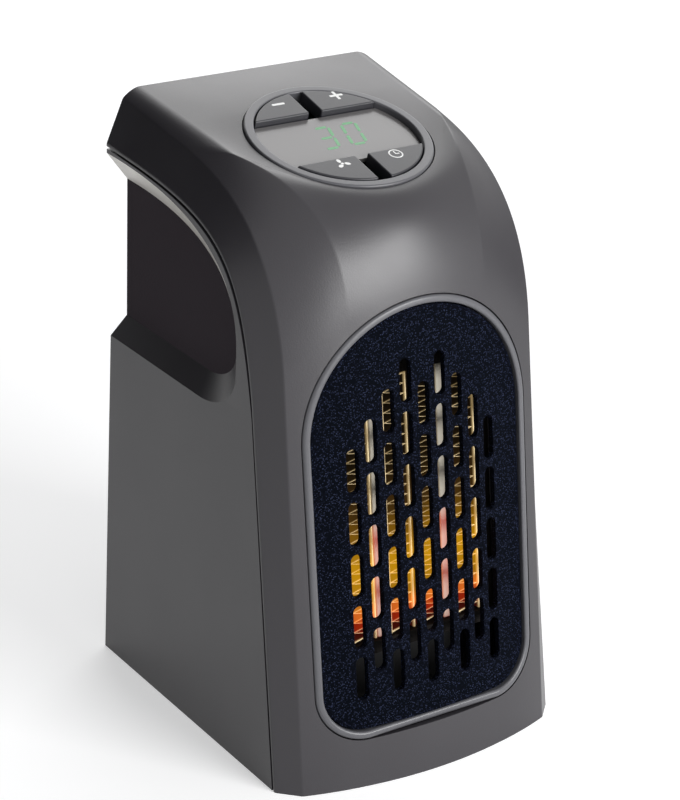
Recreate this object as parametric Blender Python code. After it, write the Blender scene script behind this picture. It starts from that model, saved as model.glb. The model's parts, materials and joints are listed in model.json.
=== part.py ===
"""Plug-in fan heater, modelled piece by piece in metres with +Z up.

The front faces -Y, the plug points to +Y and the base stands on Z = 0.
While the pieces are built, Y = 0 lies on the front corners of the base, between the bowed
front and the corner facets. At the end everything moves back by half the body's depth, so
that the origin is the middle of the base.
"""

import math

import bmesh
import bpy
from mathutils import Matrix, Vector

MM = 0.001

# Fits and walls
WALL = 2.2 * MM
FIT = 0.3 * MM
SEAM = 0.5 * MM
OVERRUN = 12.0 * MM
BITE = 0.6 * MM
MERGE = 0.001 * MM

# Body: overall sizes
BODY_DEPTH = 96.0 * MM
BODY_HEIGHT = 166.1 * MM
BASE_HALF_WIDTH = 45.0 * MM
WAIST_HALF_WIDTH = 43.2 * MM
WAIST_DROP = 66.1 * MM
WAIST_HEIGHT = BODY_HEIGHT - WAIST_DROP
WING_HALF_WIDTH = 44.5 * MM
FRONT_BOW = 6.4 * MM
# How far the leaning front stands from the back plane at the body's full height.
CROWN_DEPTH = 71.4725 * MM
FRONT_LEAN = math.atan((BODY_DEPTH - CROWN_DEPTH) / BODY_HEIGHT)

# Body: centre line of the top and front, as (y, z), with drops from the body's height and
# setbacks from its back plane
PANEL_TILT = math.radians(13.5)
PANEL_SETBACK = 43.6 * MM
PANEL_DROP = 6.5 * MM
PANEL_Y = BODY_DEPTH - PANEL_SETBACK
PANEL_Z = BODY_HEIGHT - PANEL_DROP
CROWN_FALL = math.radians(1.7)
PANEL_FLAT_BACK = 16.0 * MM
PANEL_FLAT_FRONT = 25.4 * MM
BROW_DROP = 41.1 * MM
BROW_HEIGHT = BODY_HEIGHT - BROW_DROP
BROW_FULLNESS_SHARE = 0.65
CROWN_FULLNESS_SHARE = 0.6

# Body: inner crease, where the main face meets the band beside it
CREASE_BACK_HALF = 34.8 * MM
CREASE_KNEE_HALF = 32.7 * MM
CREASE_FRONT_HALF = 21.3 * MM
CREASE_KNEE_SETBACK = 44.0 * MM
CREASE_KNEE_DROP = 5.7 * MM
CREASE_KNEE_Y = BODY_DEPTH - CREASE_KNEE_SETBACK
CREASE_KNEE_Z = BODY_HEIGHT - CREASE_KNEE_DROP
CREASE_FADE = 2.2
CREASE_FULLNESS_SHARE = 0.69
BAND_BULGE = 0.5 * MM

# Body: outer crease, where the band meets the corner facet
FACET_BACK_HALF = 39.6 * MM
FACET_MID_HALF = 38.6 * MM
FACET_BASE_HALF = 39.7 * MM
FACET_BACK_DROP = 2.5 * MM
FACET_KNEE_SETBACK = 31.7 * MM
FACET_KNEE_DROP = 7.3 * MM
FACET_LOW_DROP = 54.1 * MM
FACET_BACK_Z = BODY_HEIGHT - FACET_BACK_DROP
FACET_KNEE_Y = BODY_DEPTH - FACET_KNEE_SETBACK
FACET_KNEE_Z = BODY_HEIGHT - FACET_KNEE_DROP
FACET_LOW_Z = BODY_HEIGHT - FACET_LOW_DROP
FACET_FULLNESS_SHARE = 0.69

# Body: seam between the front shell and the rear housing
SEAM_BACK_DROP = 15.3 * MM
SEAM_KNEE_SETBACK = 8.0 * MM
SEAM_KNEE_DROP = 0.4 * MM
SEAM_FRONT_DROP = 62.6 * MM
SEAM_BACK_Z = BODY_HEIGHT - SEAM_BACK_DROP
SEAM_KNEE_Y = BODY_DEPTH - SEAM_KNEE_SETBACK
SEAM_FRONT_Y = 23.9 * MM
SEAM_FRONT_Z = BODY_HEIGHT - SEAM_FRONT_DROP
SEAM_FRONT_HALF = 43.3 * MM
SEAM_BASE_Y = 6.2 * MM
SEAM_FULLNESS_SHARE = 0.85
LIP = 1.0 * MM

CROWN_STEPS = 4
PANEL_STEPS = 3
KNEE_STEPS = 9
FRONT_STEPS = 5
MAIN_COLUMNS = 4
BAND_COLUMNS = 3
FACET_COLUMNS = 2

# Finger recesses
RECESS_HALF = 38.2 * MM
RECESS_FLOOR_FRONT = 39.6 * MM
RECESS_FLOOR_HEIGHT = 39.4 * MM
RECESS_FLOOR_DROP = 9.9 * MM
RECESS_FLOOR_TOP = SEAM_BACK_Z - RECESS_FLOOR_DROP
RECESS_FLOOR_BOTTOM = RECESS_FLOOR_TOP - RECESS_FLOOR_HEIGHT
RECESS_FLOOR_CORNER_RUN = 13.6 * MM
RECESS_FLOOR_CORNER_RISE = 9.0 * MM
RECESS_MOUTH_HALF = 44.6 * MM
RECESS_MOUTH_FRONT = 29.5 * MM
RECESS_MOUTH_DROP = 6.4 * MM
RECESS_MOUTH_BOTTOM = RECESS_FLOOR_BOTTOM - RECESS_MOUTH_DROP
RECESS_MOUTH_MARGIN = 1.5 * MM
RECESS_MOUTH_CORNER_RUN = 19.0 * MM
RECESS_MOUTH_CORNER_RISE = 13.0 * MM
RECESS_BROW_SETBACK = 2.0 * MM
RECESS_BROW_Y = BODY_DEPTH - RECESS_BROW_SETBACK
RECESS_BROW_FULLNESS_SHARE = 0.67
RECESS_FLOOR_LIFT = 1.5 * MM
RECESS_MOUTH_LIFT = 8.2 * MM
CORNER_STEPS = 5
BROW_STEPS = 8
FLOOR_BACKING_SHARE = 0.36
MOUTH_BACKING_SHARE = 1.55

# Arched outlet, measured along the leaning front
ARCH_HALF = 35.0 * MM
ARCH_DROP = 70.7 * MM
ARCH_SPRING = BODY_HEIGHT - ARCH_DROP
ARCH_BOTTOM = 13.8 * MM
ARCH_CORNER = 14.0 * MM
ARCH_STEPS = 16
ARCH_CORNER_STEPS = 4
BEZEL_WIDTH = 2.1 * MM
BEZEL_PROUD = 0.4 * MM
BEZEL_DEPTH = 4.6 * MM
GRILLE_RECESS = 0.9 * MM
GRILLE_THICKNESS = 1.8 * MM
SLOT_WIDTH = 3.3 * MM
SLOT_LENGTH = 11.8 * MM
SLOT_COLUMN_PITCH = 5.375 * MM
SLOT_PITCH = 14.25 * MM
SLOT_RISE = 12.3 * MM
SLOT_TOP = ARCH_SPRING + SLOT_RISE
SLOT_MARGIN = 2.2 * MM
SLOT_CROWN_MARGIN = 8.2 * MM
SLOT_COLUMNS = 9
SLOT_END_STEPS = 3

# Heating element, measured from the front face inwards
ELEMENT_DEPTH = 8.0 * MM
ELEMENT_THICKNESS = 12.0 * MM
ELEMENT_RISE = 1.5 * MM
ELEMENT_HEIGHT = 71.0 * MM
BAR_WIDTH = 3.8 * MM
FIN_PACK_WIDTH = 8.0 * MM
FIN_STRIP = 0.7 * MM
FIN_SHEET = 0.5 * MM
FIN_FOLDS = 15
UNIT_GAP = 1.0 * MM
FRAME_RAIL = 3.4 * MM
FRAME_FRONT_LAP = 0.8 * MM
CUTOUT_RADIUS = 4.2 * MM
CUTOUT_HEIGHT = 5.0 * MM
CAN_STEPS = 20

# Fan group, measured from the front face inwards
DUCT_FACE = 22.6 * MM
DUCT_PLATE = 2.2 * MM
DUCT_MARGIN = 9.6 * MM
DUCT_HALF = BASE_HALF_WIDTH - DUCT_MARGIN
DUCT_DROP = 38.5 * MM
DUCT_BOTTOM = 10.2 * MM
DUCT_TOP = BODY_HEIGHT - DUCT_DROP
DUCT_CORNER = 4.0 * MM
FAN_RISE = 3.1 * MM
FAN_HEIGHT = (DUCT_BOTTOM + DUCT_TOP) / 2 + FAN_RISE
ELEMENT_MIDDLE = FAN_HEIGHT + ELEMENT_RISE
SHROUD_RADIUS = 33.0 * MM
SHROUD_WALL = 1.6 * MM
SHROUD_LENGTH = 15.0 * MM
DUCT_EYE_HALF = 24.0 * MM
ARM_WIDTH = 4.0 * MM
ARM_THICKNESS = 2.4 * MM
MOTOR_RADIUS = 12.0 * MM
MOTOR_LENGTH = 22.0 * MM
MOTOR_CUP_WALL = 1.8 * MM
MOTOR_CUP_DEPTH = 8.0 * MM
MOTOR_STEPS = 32
SHAFT_RADIUS = 1.0 * MM
FAN_GAP = 1.4 * MM
BLADE_COUNT = 7
BLADE_CHORD = 9.0 * MM
BLADE_SHEET = 1.2 * MM
BLADE_ROOT_PITCH = math.radians(48.0)
BLADE_TIP_PITCH = math.radians(26.0)
BLADE_STEPS = 4
BLADE_SWEEP = math.radians(34.0)
HUB_RADIUS = 10.0 * MM
HUB_LENGTH = 9.5 * MM
HUB_WALL = 1.6 * MM
HUB_STEPS = 28
POST_RADIUS = 3.2 * MM
POST_LOW_MARGIN = 1.4 * MM
POST_LOW_X = DUCT_HALF - POST_LOW_MARGIN
POST_LOW_RISE = 4.4 * MM
POST_LOW_HEIGHT = DUCT_BOTTOM + POST_LOW_RISE
POST_HIGH_X = 31.0 * MM
POST_HIGH_DROP = 4.0 * MM
POST_HIGH_HEIGHT = DUCT_TOP - POST_HIGH_DROP

# Screws
SCREW_RADIUS = 1.3 * MM
SCREW_HEAD_RADIUS = 2.6 * MM
SCREW_HEAD_HEIGHT = 1.5 * MM
SCREW_LENGTH = 9.0 * MM
SCREW_CROWN_SHARE = 0.7
SCREW_STEPS = 8

# Control panel, measured in its own tilted plane
RING_RADIUS = 25.1 * MM
RING_BORE = 22.4 * MM
RING_PROUD = 0.7 * MM
RING_DEPTH = 5.4 * MM
RING_FLANGE = 27.4 * MM
RING_FLANGE_THICKNESS = 1.4 * MM
RING_LEG_RADIUS = 1.6 * MM
RING_STEPS = 36
WINDOW_LEVEL = -0.9 * MM
WINDOW_THICKNESS = 1.2 * MM
BUTTON_PROUD = 0.9 * MM
BUTTON_THICKNESS = 3.4 * MM
BUTTON_BACK_CHORD = 11.6 * MM
BUTTON_FRONT_CHORD = 10.4 * MM
BUTTON_GAP_HALF = 1.9 * MM
BUTTON_CREST = 0.5 * MM
BUTTON_TRAVEL = 0.6 * MM
BUTTON_ARC_STEPS = 9
STEM_RADIUS = 1.5 * MM
SWITCH_SIZE = 6.0 * MM
SWITCH_BODY = 2.4 * MM
SWITCH_PLUNGER_RADIUS = 1.6 * MM
SWITCH_PLUNGER = 1.0 * MM
SWITCH_X = 9.0 * MM
SWITCH_BACK = 15.8 * MM
SWITCH_FRONT = 15.0 * MM
BOARD = 1.6 * MM
CONTROL_BOARD_LEVEL = -8.4 * MM
CONTROL_BOARD_RADIUS = 26.6 * MM
DISPLAY_WIDTH = 19.0 * MM
DISPLAY_LENGTH = 13.0 * MM

# Back cover and its intake
COVER_THICKNESS = 2.6 * MM
COVER_FIT = 0.5 * MM
COVER_SCREW_MARGIN = 6.6 * MM
COVER_SCREW_X = BASE_HALF_WIDTH - COVER_SCREW_MARGIN
COVER_SCREW_LOW = 6.4 * MM
COVER_SCREW_HIGH_X = 31.8 * MM
COVER_SCREW_DROP = 10.8 * MM
COVER_SCREW_HIGH = SEAM_BACK_Z - COVER_SCREW_DROP
BOSS_RADIUS = 4.3 * MM
BOSS_LENGTH = 16.0 * MM
INTAKE_SLOT_HALF = 27.0 * MM
INTAKE_SLOT_HEIGHT = 2.6 * MM
INTAKE_PITCH = 5.6 * MM
INTAKE_BOTTOM = 15.0 * MM
INTAKE_BRIDGE = 3.0 * MM
INTAKE_MARGIN = 12.0 * MM

# Plug turret
PLUG_DROP = 54.1 * MM
PLUG_HEIGHT = BODY_HEIGHT - PLUG_DROP
TURRET_RADIUS = 21.0 * MM
TURRET_FLANGE = 24.4 * MM
TURRET_FLANGE_THICKNESS = 2.4 * MM
TURRET_PROUD = 0.6 * MM
TURRET_INNER_RADIUS = 15.0 * MM
TURRET_INNER_LENGTH = 2.4 * MM
PLUG_RADIUS = 18.4 * MM
PLUG_TIP_RADIUS = 17.7 * MM
PLUG_LENGTH = 16.0 * MM
PLUG_EDGE = 1.2 * MM
PLUG_NOTCH_WIDTH = 6.0 * MM
PLUG_NOTCH_DEPTH = 3.2 * MM
PIN_RADIUS = 2.4 * MM
PIN_SPACING = 19.0 * MM
PIN_LENGTH = 19.0 * MM
PIN_TIP = 1.0 * MM
PIN_FOOT = 1.2 * MM
CARRIER_WALL = 2.0 * MM
CARRIER_FLOOR = 2.0 * MM
SLIP_RING = 0.8 * MM
SLIP_RING_WIDTH = 3.0 * MM
SLIP_INNER_RADIUS = 4.0 * MM
SLIP_OUTER_RADIUS = 12.6 * MM
PLUG_STEPS = 32
PIN_STEPS = 16

# Power board and its parts
POWER_BOARD_HALF = 33.6 * MM
POWER_BOARD_BELOW = 20.0 * MM
POWER_BOARD_ABOVE = 21.0 * MM
POWER_BOARD_BOTTOM = PLUG_HEIGHT - POWER_BOARD_BELOW
POWER_BOARD_TOP = PLUG_HEIGHT + POWER_BOARD_ABOVE
POWER_BOARD_STANDOFF = 19.0 * MM
STANDOFF_X = 31.0 * MM
STANDOFF_MARGIN = 3.4 * MM
STANDOFF_LOW = POWER_BOARD_BOTTOM + STANDOFF_MARGIN
STANDOFF_HIGH = POWER_BOARD_TOP - STANDOFF_MARGIN
STANDOFF_RADIUS = 2.3 * MM
RELAY_SIZE = (19.0 * MM, 15.0 * MM, 15.4 * MM)
TRANSFORMER_SIZE = (20.0 * MM, 16.0 * MM, 17.0 * MM)
CAPACITOR_RADIUS = 4.0 * MM
CAPACITOR_LENGTH = 14.0 * MM
PART_FEET = 0.3 * MM

# Main rocker switch on the right side
ROCKER_SETBACK = 30.0 * MM
ROCKER_Y = BODY_DEPTH - ROCKER_SETBACK
ROCKER_Z = 24.0 * MM
ROCKER_CASE_WIDTH = 13.0 * MM
ROCKER_CASE_HEIGHT = 19.2 * MM
ROCKER_CASE_DEPTH = 15.0 * MM
ROCKER_BEZEL_WIDTH = 15.4 * MM
ROCKER_BEZEL_HEIGHT = 21.4 * MM
ROCKER_BEZEL_THICKNESS = 1.6 * MM
ROCKER_RIM = 1.5 * MM
ROCKER_WELL = 6.0 * MM
ROCKER_SWING = math.radians(10.0)
ROCKER_PIVOT_DEPTH = 1.6 * MM
ROCKER_CROWN = 2.6 * MM


def clear_scene():
    """Remove every object, so that the script starts from an empty scene."""
    for item in list(bpy.data.objects):
        bpy.data.objects.remove(item, do_unlink=True)


def make_material(name, colour, roughness, metallic=0.0):
    """Return a Principled material with the given colour, roughness and metallic value."""
    material = bpy.data.materials.new(name)
    material.use_nodes = True
    shader = material.node_tree.nodes["Principled BSDF"]
    shader.inputs["Base Color"].default_value = (*colour, 1.0)
    shader.inputs["Roughness"].default_value = roughness
    shader.inputs["Metallic"].default_value = metallic
    return material


def make_materials():
    """Return the heater's materials by name."""
    return {
        "shell": make_material("anthracite plastic", (0.085, 0.08, 0.08), 0.42),
        "bezel": make_material("satin grey plastic", (0.16, 0.16, 0.17), 0.35),
        "grille": make_material("matte black plastic", (0.012, 0.013, 0.018), 0.6),
        "window": make_material("grey display window", (0.3, 0.29, 0.28), 0.2),
        "button": make_material("black button plastic", (0.03, 0.03, 0.035), 0.4),
        "board": make_material("green board", (0.02, 0.12, 0.05), 0.5),
        "black": make_material("black part plastic", (0.02, 0.02, 0.02), 0.5),
        "white": make_material("white part plastic", (0.8, 0.8, 0.76), 0.4),
        "steel": make_material("bright steel", (0.62, 0.62, 0.62), 0.3, 1.0),
        "brass": make_material("nickel brass", (0.75, 0.68, 0.5), 0.3, 1.0),
        "aluminium": make_material("fin aluminium", (0.75, 0.73, 0.7), 0.35, 1.0),
        "ceramic": make_material("grey ceramic", (0.55, 0.54, 0.52), 0.6),
        "frame": make_material("brown heat-proof frame", (0.09, 0.06, 0.04), 0.6),
    }


def make_object(name, bm, material=None, parent=None, location=(0, 0, 0), smooth=None):
    """Turn a bmesh into a named object and free the bmesh.

    Args:
        smooth: angle in degrees above which an edge stays sharp, or None for flat faces.
    """
    bmesh.ops.remove_doubles(bm, verts=bm.verts, dist=MERGE)
    bmesh.ops.recalc_face_normals(bm, faces=bm.faces)
    mesh = bpy.data.meshes.new(name)
    bm.to_mesh(mesh)
    bm.free()
    if smooth is not None:
        mesh.shade_smooth()
        mesh.set_sharp_from_angle(angle=math.radians(smooth))
    item = bpy.data.objects.new(name, mesh)
    bpy.context.collection.objects.link(item)
    if material is not None:
        mesh.materials.append(material)
    item.parent = parent
    item.location = location
    return item


def make_empty(name, location, rotation_x):
    """Return an empty that carries a tilted group of pieces."""
    item = bpy.data.objects.new(name, None)
    bpy.context.collection.objects.link(item)
    item.location = location
    item.rotation_euler = (rotation_x, 0, 0)
    return item


def along_x(u, v, w):
    """Place outline point (u, v) in the YZ plane, at depth w along X."""
    return (w, u, v)


def along_y(u, v, w):
    """Place outline point (u, v) in the XZ plane, at depth w along Y."""
    return (u, w, v)


def along_z(u, v, w):
    """Place outline point (u, v) in the XY plane, at depth w along Z."""
    return (u, v, w)


def bridge(bm, first, second, closed=True):
    """Join two equal rows of vertices with quads."""
    count = len(first)
    last = count if closed else count - 1
    for i in range(last):
        j = (i + 1) % count
        bm.faces.new((first[i], first[j], second[j], second[i]))


def add_loft(bm, rings):
    """Add a closed solid through rings of points, capped at both ends."""
    rows = [[bm.verts.new(point) for point in ring] for ring in rings]
    for first, second in zip(rows, rows[1:]):
        bridge(bm, first, second)
    bm.faces.new(list(reversed(rows[0])))
    bm.faces.new(rows[-1])


def add_prism(bm, outline, start, end, place=along_z):
    """Add a closed outline extruded from start to end."""
    add_loft(bm, [[place(u, v, w) for u, v in outline] for w in (start, end)])


def add_box(bm, low, high):
    """Add a box between two corners."""
    outline = [(low[0], low[1]), (high[0], low[1]), (high[0], high[1]), (low[0], high[1])]
    add_prism(bm, outline, low[2], high[2])


def add_turned(bm, profile, place=along_z, steps=RING_STEPS, centre=(0, 0)):
    """Add a solid of revolution from a closed profile of (radius, height) points."""
    columns = []
    for radius, height in profile:
        if radius < MERGE:
            columns.append([bm.verts.new(place(centre[0], centre[1], height))])
            continue
        ring = []
        for k in range(steps):
            angle = math.tau * k / steps
            u = centre[0] + radius * math.cos(angle)
            v = centre[1] + radius * math.sin(angle)
            ring.append(bm.verts.new(place(u, v, height)))
        columns.append(ring)
    for first, second in zip(columns, columns[1:] + columns[:1]):
        if len(first) == 1 and len(second) == 1:
            continue
        if len(first) == 1 or len(second) == 1:
            pole, ring = (first[0], second) if len(first) == 1 else (second[0], first)
            for k in range(steps):
                bm.faces.new((pole, ring[k], ring[(k + 1) % steps]))
            continue
        bridge(bm, first, second)


def add_rod(bm, radius, start, end, place=along_z, steps=SCREW_STEPS, centre=(0, 0)):
    """Add a plain cylinder."""
    add_turned(bm, [(0, start), (radius, start), (radius, end), (0, end)], place, steps, centre)


def helper(name, bm, parent=None, location=(0, 0, 0)):
    """Return a solid that only serves a Boolean, hidden from renders."""
    item = make_object(name, bm, parent=parent, location=location)
    item.hide_render = True
    item.display_type = "WIRE"
    return item


def combine(target, tool, operation):
    """Cut, join or intersect the target with a tool object."""
    modifier = target.modifiers.new(tool.name, "BOOLEAN")
    modifier.operation = operation
    modifier.solver = "EXACT"
    modifier.object = tool


def arc(centre, radius_u, radius_v, start, end, steps):
    """Return points on an elliptic arc between two angles in degrees, both ends included."""
    points = []
    for k in range(steps + 1):
        angle = math.radians(start + (end - start) * k / steps)
        points.append((centre[0] + radius_u * math.cos(angle), centre[1] + radius_v * math.sin(angle)))
    return points


def rounded_box(half_u, low_v, high_v, corner, steps=3):
    """Return the outline of a rectangle with round corners, centred on u = 0."""
    inner = half_u - corner
    points = arc((inner, low_v + corner), corner, corner, -90, 0, steps)
    points += arc((inner, high_v - corner), corner, corner, 0, 90, steps)
    points += arc((-inner, high_v - corner), corner, corner, 90, 180, steps)
    points += arc((-inner, low_v + corner), corner, corner, 180, 270, steps)
    return points


def inset(outline, distance):
    """Return a closed outline moved inwards by a distance, with mitred corners."""
    area = sum(a[0] * b[1] - b[0] * a[1] for a, b in zip(outline, outline[1:] + outline[:1]))
    side = math.copysign(distance, area)
    moved = []
    for before, here, after in zip(outline[-1:] + outline[:-1], outline, outline[1:] + outline[:1]):
        first = Vector((here[0] - before[0], here[1] - before[1])).normalized()
        second = Vector((after[0] - here[0], after[1] - here[1])).normalized()
        normal_1 = Vector((-first.y, first.x))
        normal_2 = Vector((-second.y, second.x))
        middle = (normal_1 + normal_2).normalized()
        shift = middle * (side / middle.dot(normal_1))
        moved.append((here[0] + shift.x, here[1] + shift.y))
    return moved


def meet(a, b, c, d):
    """Return where the YZ lines a-b and c-d meet."""
    first = (b[1] - a[1], b[2] - a[2])
    second = (d[1] - c[1], d[2] - c[2])
    cross = first[0] * second[1] - first[1] * second[0]
    share = ((c[1] - a[1]) * second[1] - (c[2] - a[2]) * second[0]) / cross
    return (a[1] + first[0] * share, a[2] + first[1] * share)


def shrink(outline, distance):
    """Return a closed outline moved inwards, without the edges that this leaves no length."""
    kept = list(outline)
    moved = inset(kept, distance)
    k = 0
    while k < len(kept):
        ahead = (k + 1) % len(kept)
        edge = Vector(kept[ahead]) - Vector(kept[k])
        if edge.dot(Vector(moved[ahead]) - Vector(moved[k])) > 0:
            k += 1
            continue
        before, beyond = kept[k - 1], kept[(k + 2) % len(kept)]
        kept[k] = meet((0, *before), (0, *kept[k]), (0, *kept[ahead]), (0, *beyond))
        del kept[ahead]
        moved = inset(kept, distance)
        k = 0
    return moved


def straight(a, b, steps):
    """Return points from a towards b, with a included and b left out."""
    return [tuple(p + (q - p) * k / steps for p, q in zip(a, b)) for k in range(steps)]


def knee(a, corner, b, fullness, steps, fade=1.0):
    """Return points on a rounded corner from a to b, with b left out.

    Args:
        corner: the (y, z) point where the two straight runs would meet.
        fullness: how far the curve's handles reach towards the corner.
        fade: above 1, the half-width leaves its first value sooner.
    """
    points = []
    for k in range(steps):
        t = k / steps
        weights = ((1 - t) ** 3, 3 * t * (1 - t) ** 2, 3 * t * t * (1 - t), t ** 3)
        point = [b[0] + (a[0] - b[0]) * (1 - t) ** fade]
        for axis in (1, 2):
            tip = corner[axis - 1]
            handle_a = a[axis] + (tip - a[axis]) * fullness
            handle_b = b[axis] + (tip - b[axis]) * fullness
            values = (a[axis], handle_a, handle_b, b[axis])
            point.append(sum(w * value for w, value in zip(weights, values)))
        points.append(tuple(point))
    return points


def front_y(height, half=0.0):
    """Return the y of the bowed, leaning front at a height and a distance from the middle."""
    return -FRONT_BOW + height * math.tan(FRONT_LEAN) + FRONT_BOW * (half / FACET_BASE_HALF) ** 2


def profile_path(start, knee_in, knee_out, end, fullness, fade=1.0):
    """Return a body line that runs forward, turns down and ends at the base."""
    corner = meet(start, knee_in, knee_out, end)
    points = straight(start, knee_in, CROWN_STEPS + PANEL_STEPS)
    points += knee(knee_in, corner, knee_out, fullness, KNEE_STEPS, fade)
    points += straight(knee_out, end, FRONT_STEPS)
    points.append(end)
    return points


def centre_path():
    """Return the body's centre line, with the flat that carries the control panel."""
    slope = math.tan(PANEL_TILT)
    start = (0.0, BODY_DEPTH, BODY_HEIGHT)
    toward = (0.0, 0.0, BODY_HEIGHT - BODY_DEPTH * math.tan(CROWN_FALL))
    flat_in = (0.0, PANEL_Y + PANEL_FLAT_BACK, PANEL_Z + PANEL_FLAT_BACK * slope)
    knee_in = (0.0, PANEL_Y - PANEL_FLAT_FRONT, PANEL_Z - PANEL_FLAT_FRONT * slope)
    knee_out = (0.0, front_y(BROW_HEIGHT), BROW_HEIGHT)
    end = (0.0, front_y(0), 0.0)
    crown = meet(start, toward, flat_in, knee_in)
    brow = meet(flat_in, knee_in, knee_out, end)
    points = knee(start, crown, flat_in, CROWN_FULLNESS_SHARE, CROWN_STEPS)
    points += straight(flat_in, knee_in, PANEL_STEPS)
    points += knee(knee_in, brow, knee_out, BROW_FULLNESS_SHARE, KNEE_STEPS)
    points += straight(knee_out, end, FRONT_STEPS)
    points.append(end)
    return points


def crease_path():
    """Return the crease between the main face and the band beside it."""
    start = (CREASE_BACK_HALF, BODY_DEPTH, BODY_HEIGHT)
    knee_in = (CREASE_KNEE_HALF, CREASE_KNEE_Y, CREASE_KNEE_Z)
    knee_out = (CREASE_FRONT_HALF, front_y(BROW_HEIGHT, CREASE_FRONT_HALF), BROW_HEIGHT)
    end = (CREASE_FRONT_HALF, front_y(0, CREASE_FRONT_HALF), 0.0)
    return profile_path(start, knee_in, knee_out, end, CREASE_FULLNESS_SHARE, CREASE_FADE)


def facet_path():
    """Return the outer crease, where the corner facet starts."""
    start = (FACET_BACK_HALF, BODY_DEPTH, FACET_BACK_Z)
    knee_in = (FACET_MID_HALF, FACET_KNEE_Y, FACET_KNEE_Z)
    knee_out = (FACET_MID_HALF, FACET_LOW_Z * math.tan(FRONT_LEAN), FACET_LOW_Z)
    end = (FACET_BASE_HALF, 0.0, 0.0)
    return profile_path(start, knee_in, knee_out, end, FACET_FULLNESS_SHARE)


def seam_path():
    """Return the seam, the lower edge of the front shell."""
    start = (WING_HALF_WIDTH, BODY_DEPTH, SEAM_BACK_Z)
    knee_in = (WING_HALF_WIDTH, SEAM_KNEE_Y, SEAM_BACK_Z - SEAM_KNEE_DROP)
    knee_out = (SEAM_FRONT_HALF, SEAM_FRONT_Y, SEAM_FRONT_Z)
    end = (BASE_HALF_WIDTH, SEAM_BASE_Y, 0.0)
    return profile_path(start, knee_in, knee_out, end, SEAM_FULLNESS_SHARE)


def outward(path, i):
    """Return the YZ direction that points out of the body at point i of a path."""
    before = path[max(i - 1, 0)]
    after = path[min(i + 1, len(path) - 1)]
    run = Vector((after[1] - before[1], after[2] - before[2])).normalized()
    return (run.y, -run.x)


def shift_path(path, distance):
    """Return a path moved outwards, with its ends kept on the back plane and the base."""
    moved = []
    for i, (x, y, z) in enumerate(path):
        out = outward(path, i)
        moved.append([x, y + out[0] * distance, z + out[1] * distance])
    moved[0][1] = path[0][1]
    moved[-1][2] = path[-1][2]
    return [tuple(point) for point in moved]


def shell_row(i, centre, crease, facet, edge, seam):
    """Return one row of the shell's outer surface, from the middle to the right seam."""
    middle = centre[i]
    row = []
    for k in range(MAIN_COLUMNS + 1):
        share = k / MAIN_COLUMNS
        y = middle[1] + (crease[i][1] - middle[1]) * share ** 2
        z = middle[2] + (crease[i][2] - middle[2]) * share ** 2
        row.append((crease[i][0] * share, y, z))
    out = outward(facet, i)
    for k in range(1, BAND_COLUMNS + 1):
        share = k / BAND_COLUMNS
        lift = 4 * BAND_BULGE * share * (1 - share)
        point = [a + (b - a) * share for a, b in zip(crease[i], facet[i])]
        row.append((point[0], point[1] + out[0] * lift, point[2] + out[1] * lift))
    for k in range(1, FACET_COLUMNS + 1):
        share = k / FACET_COLUMNS
        row.append(tuple(a + (b - a) * share for a, b in zip(facet[i], edge[i])))
    row.append(seam[i])
    row[0] = (0.0, row[0][1], row[0][2])
    return row


def shell_rows():
    """Return all rows of the shell's outer surface, from the left seam to the right one."""
    centre = centre_path()
    crease = crease_path()
    facet = facet_path()
    seam = seam_path()
    edge = shift_path(seam, LIP)
    rows = []
    for i in range(len(centre)):
        right = shell_row(i, centre, crease, facet, edge, seam)
        # The row's end at the base and the back lies exactly on the plane there.
        if i == len(centre) - 1:
            right = [(x, y, 0.0) for x, y, z in right]
        if i == 0:
            right = [(x, BODY_DEPTH, z) for x, y, z in right]
        left = [(-x, y, z) for x, y, z in reversed(right[1:])]
        rows.append(left + right)
    return rows


def thicken(bm, rows, thickness):
    """Add a closed shell: the given outer rows and an inner copy moved in by the wall."""
    outer = [[bm.verts.new(point) for point in row] for row in rows]
    for first, second in zip(outer, outer[1:]):
        bridge(bm, first, second, closed=False)
    bm.normal_update()
    middle = Vector((0.0, BODY_DEPTH / 2, BODY_HEIGHT / 2))
    top = outer[0][len(outer[0]) // 2]
    side = -1.0 if top.normal.dot(top.co - middle) > 0 else 1.0
    inner = []
    for i, row in enumerate(outer):
        moved = []
        for vertex in row:
            point = vertex.co + vertex.normal * side * thickness
            if i == 0:
                point.y = BODY_DEPTH
            if i == len(outer) - 1:
                point.y += -point.z * math.tan(FRONT_LEAN)
                point.z = 0.0
            moved.append(bm.verts.new(point))
        inner.append(moved)
    for first, second in zip(inner, inner[1:]):
        bridge(bm, first, second, closed=False)
    bridge(bm, outer[0], inner[0], closed=False)
    bridge(bm, outer[-1], inner[-1], closed=False)
    bridge(bm, [row[0] for row in outer], [row[0] for row in inner], closed=False)
    bridge(bm, [row[-1] for row in outer], [row[-1] for row in inner], closed=False)


def arch_outline(margin):
    """Return the arch outline in the front plane, moved inwards by a margin."""
    half = ARCH_HALF - margin
    corner = ARCH_CORNER - margin
    low = ARCH_BOTTOM + margin
    points = arc((half - corner, low + corner), corner, corner, -90, 0, ARCH_CORNER_STEPS)
    points += arc((0, ARCH_SPRING), half, half, 0, 180, ARCH_STEPS)
    points += arc((corner - half, low + corner), corner, corner, 180, 270, ARCH_CORNER_STEPS)
    return points


def bow(x):
    """Return how far the front falls back at a distance from its middle."""
    return FRONT_BOW * (x / FACET_BASE_HALF) ** 2 * math.cos(FRONT_LEAN)


def post_places():
    """Return where the front shell's four posts stand in the front plane."""
    return [
        (POST_LOW_X, POST_LOW_HEIGHT),
        (-POST_LOW_X, POST_LOW_HEIGHT),
        (POST_HIGH_X, POST_HIGH_HEIGHT),
        (-POST_HIGH_X, POST_HIGH_HEIGHT),
    ]


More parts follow.
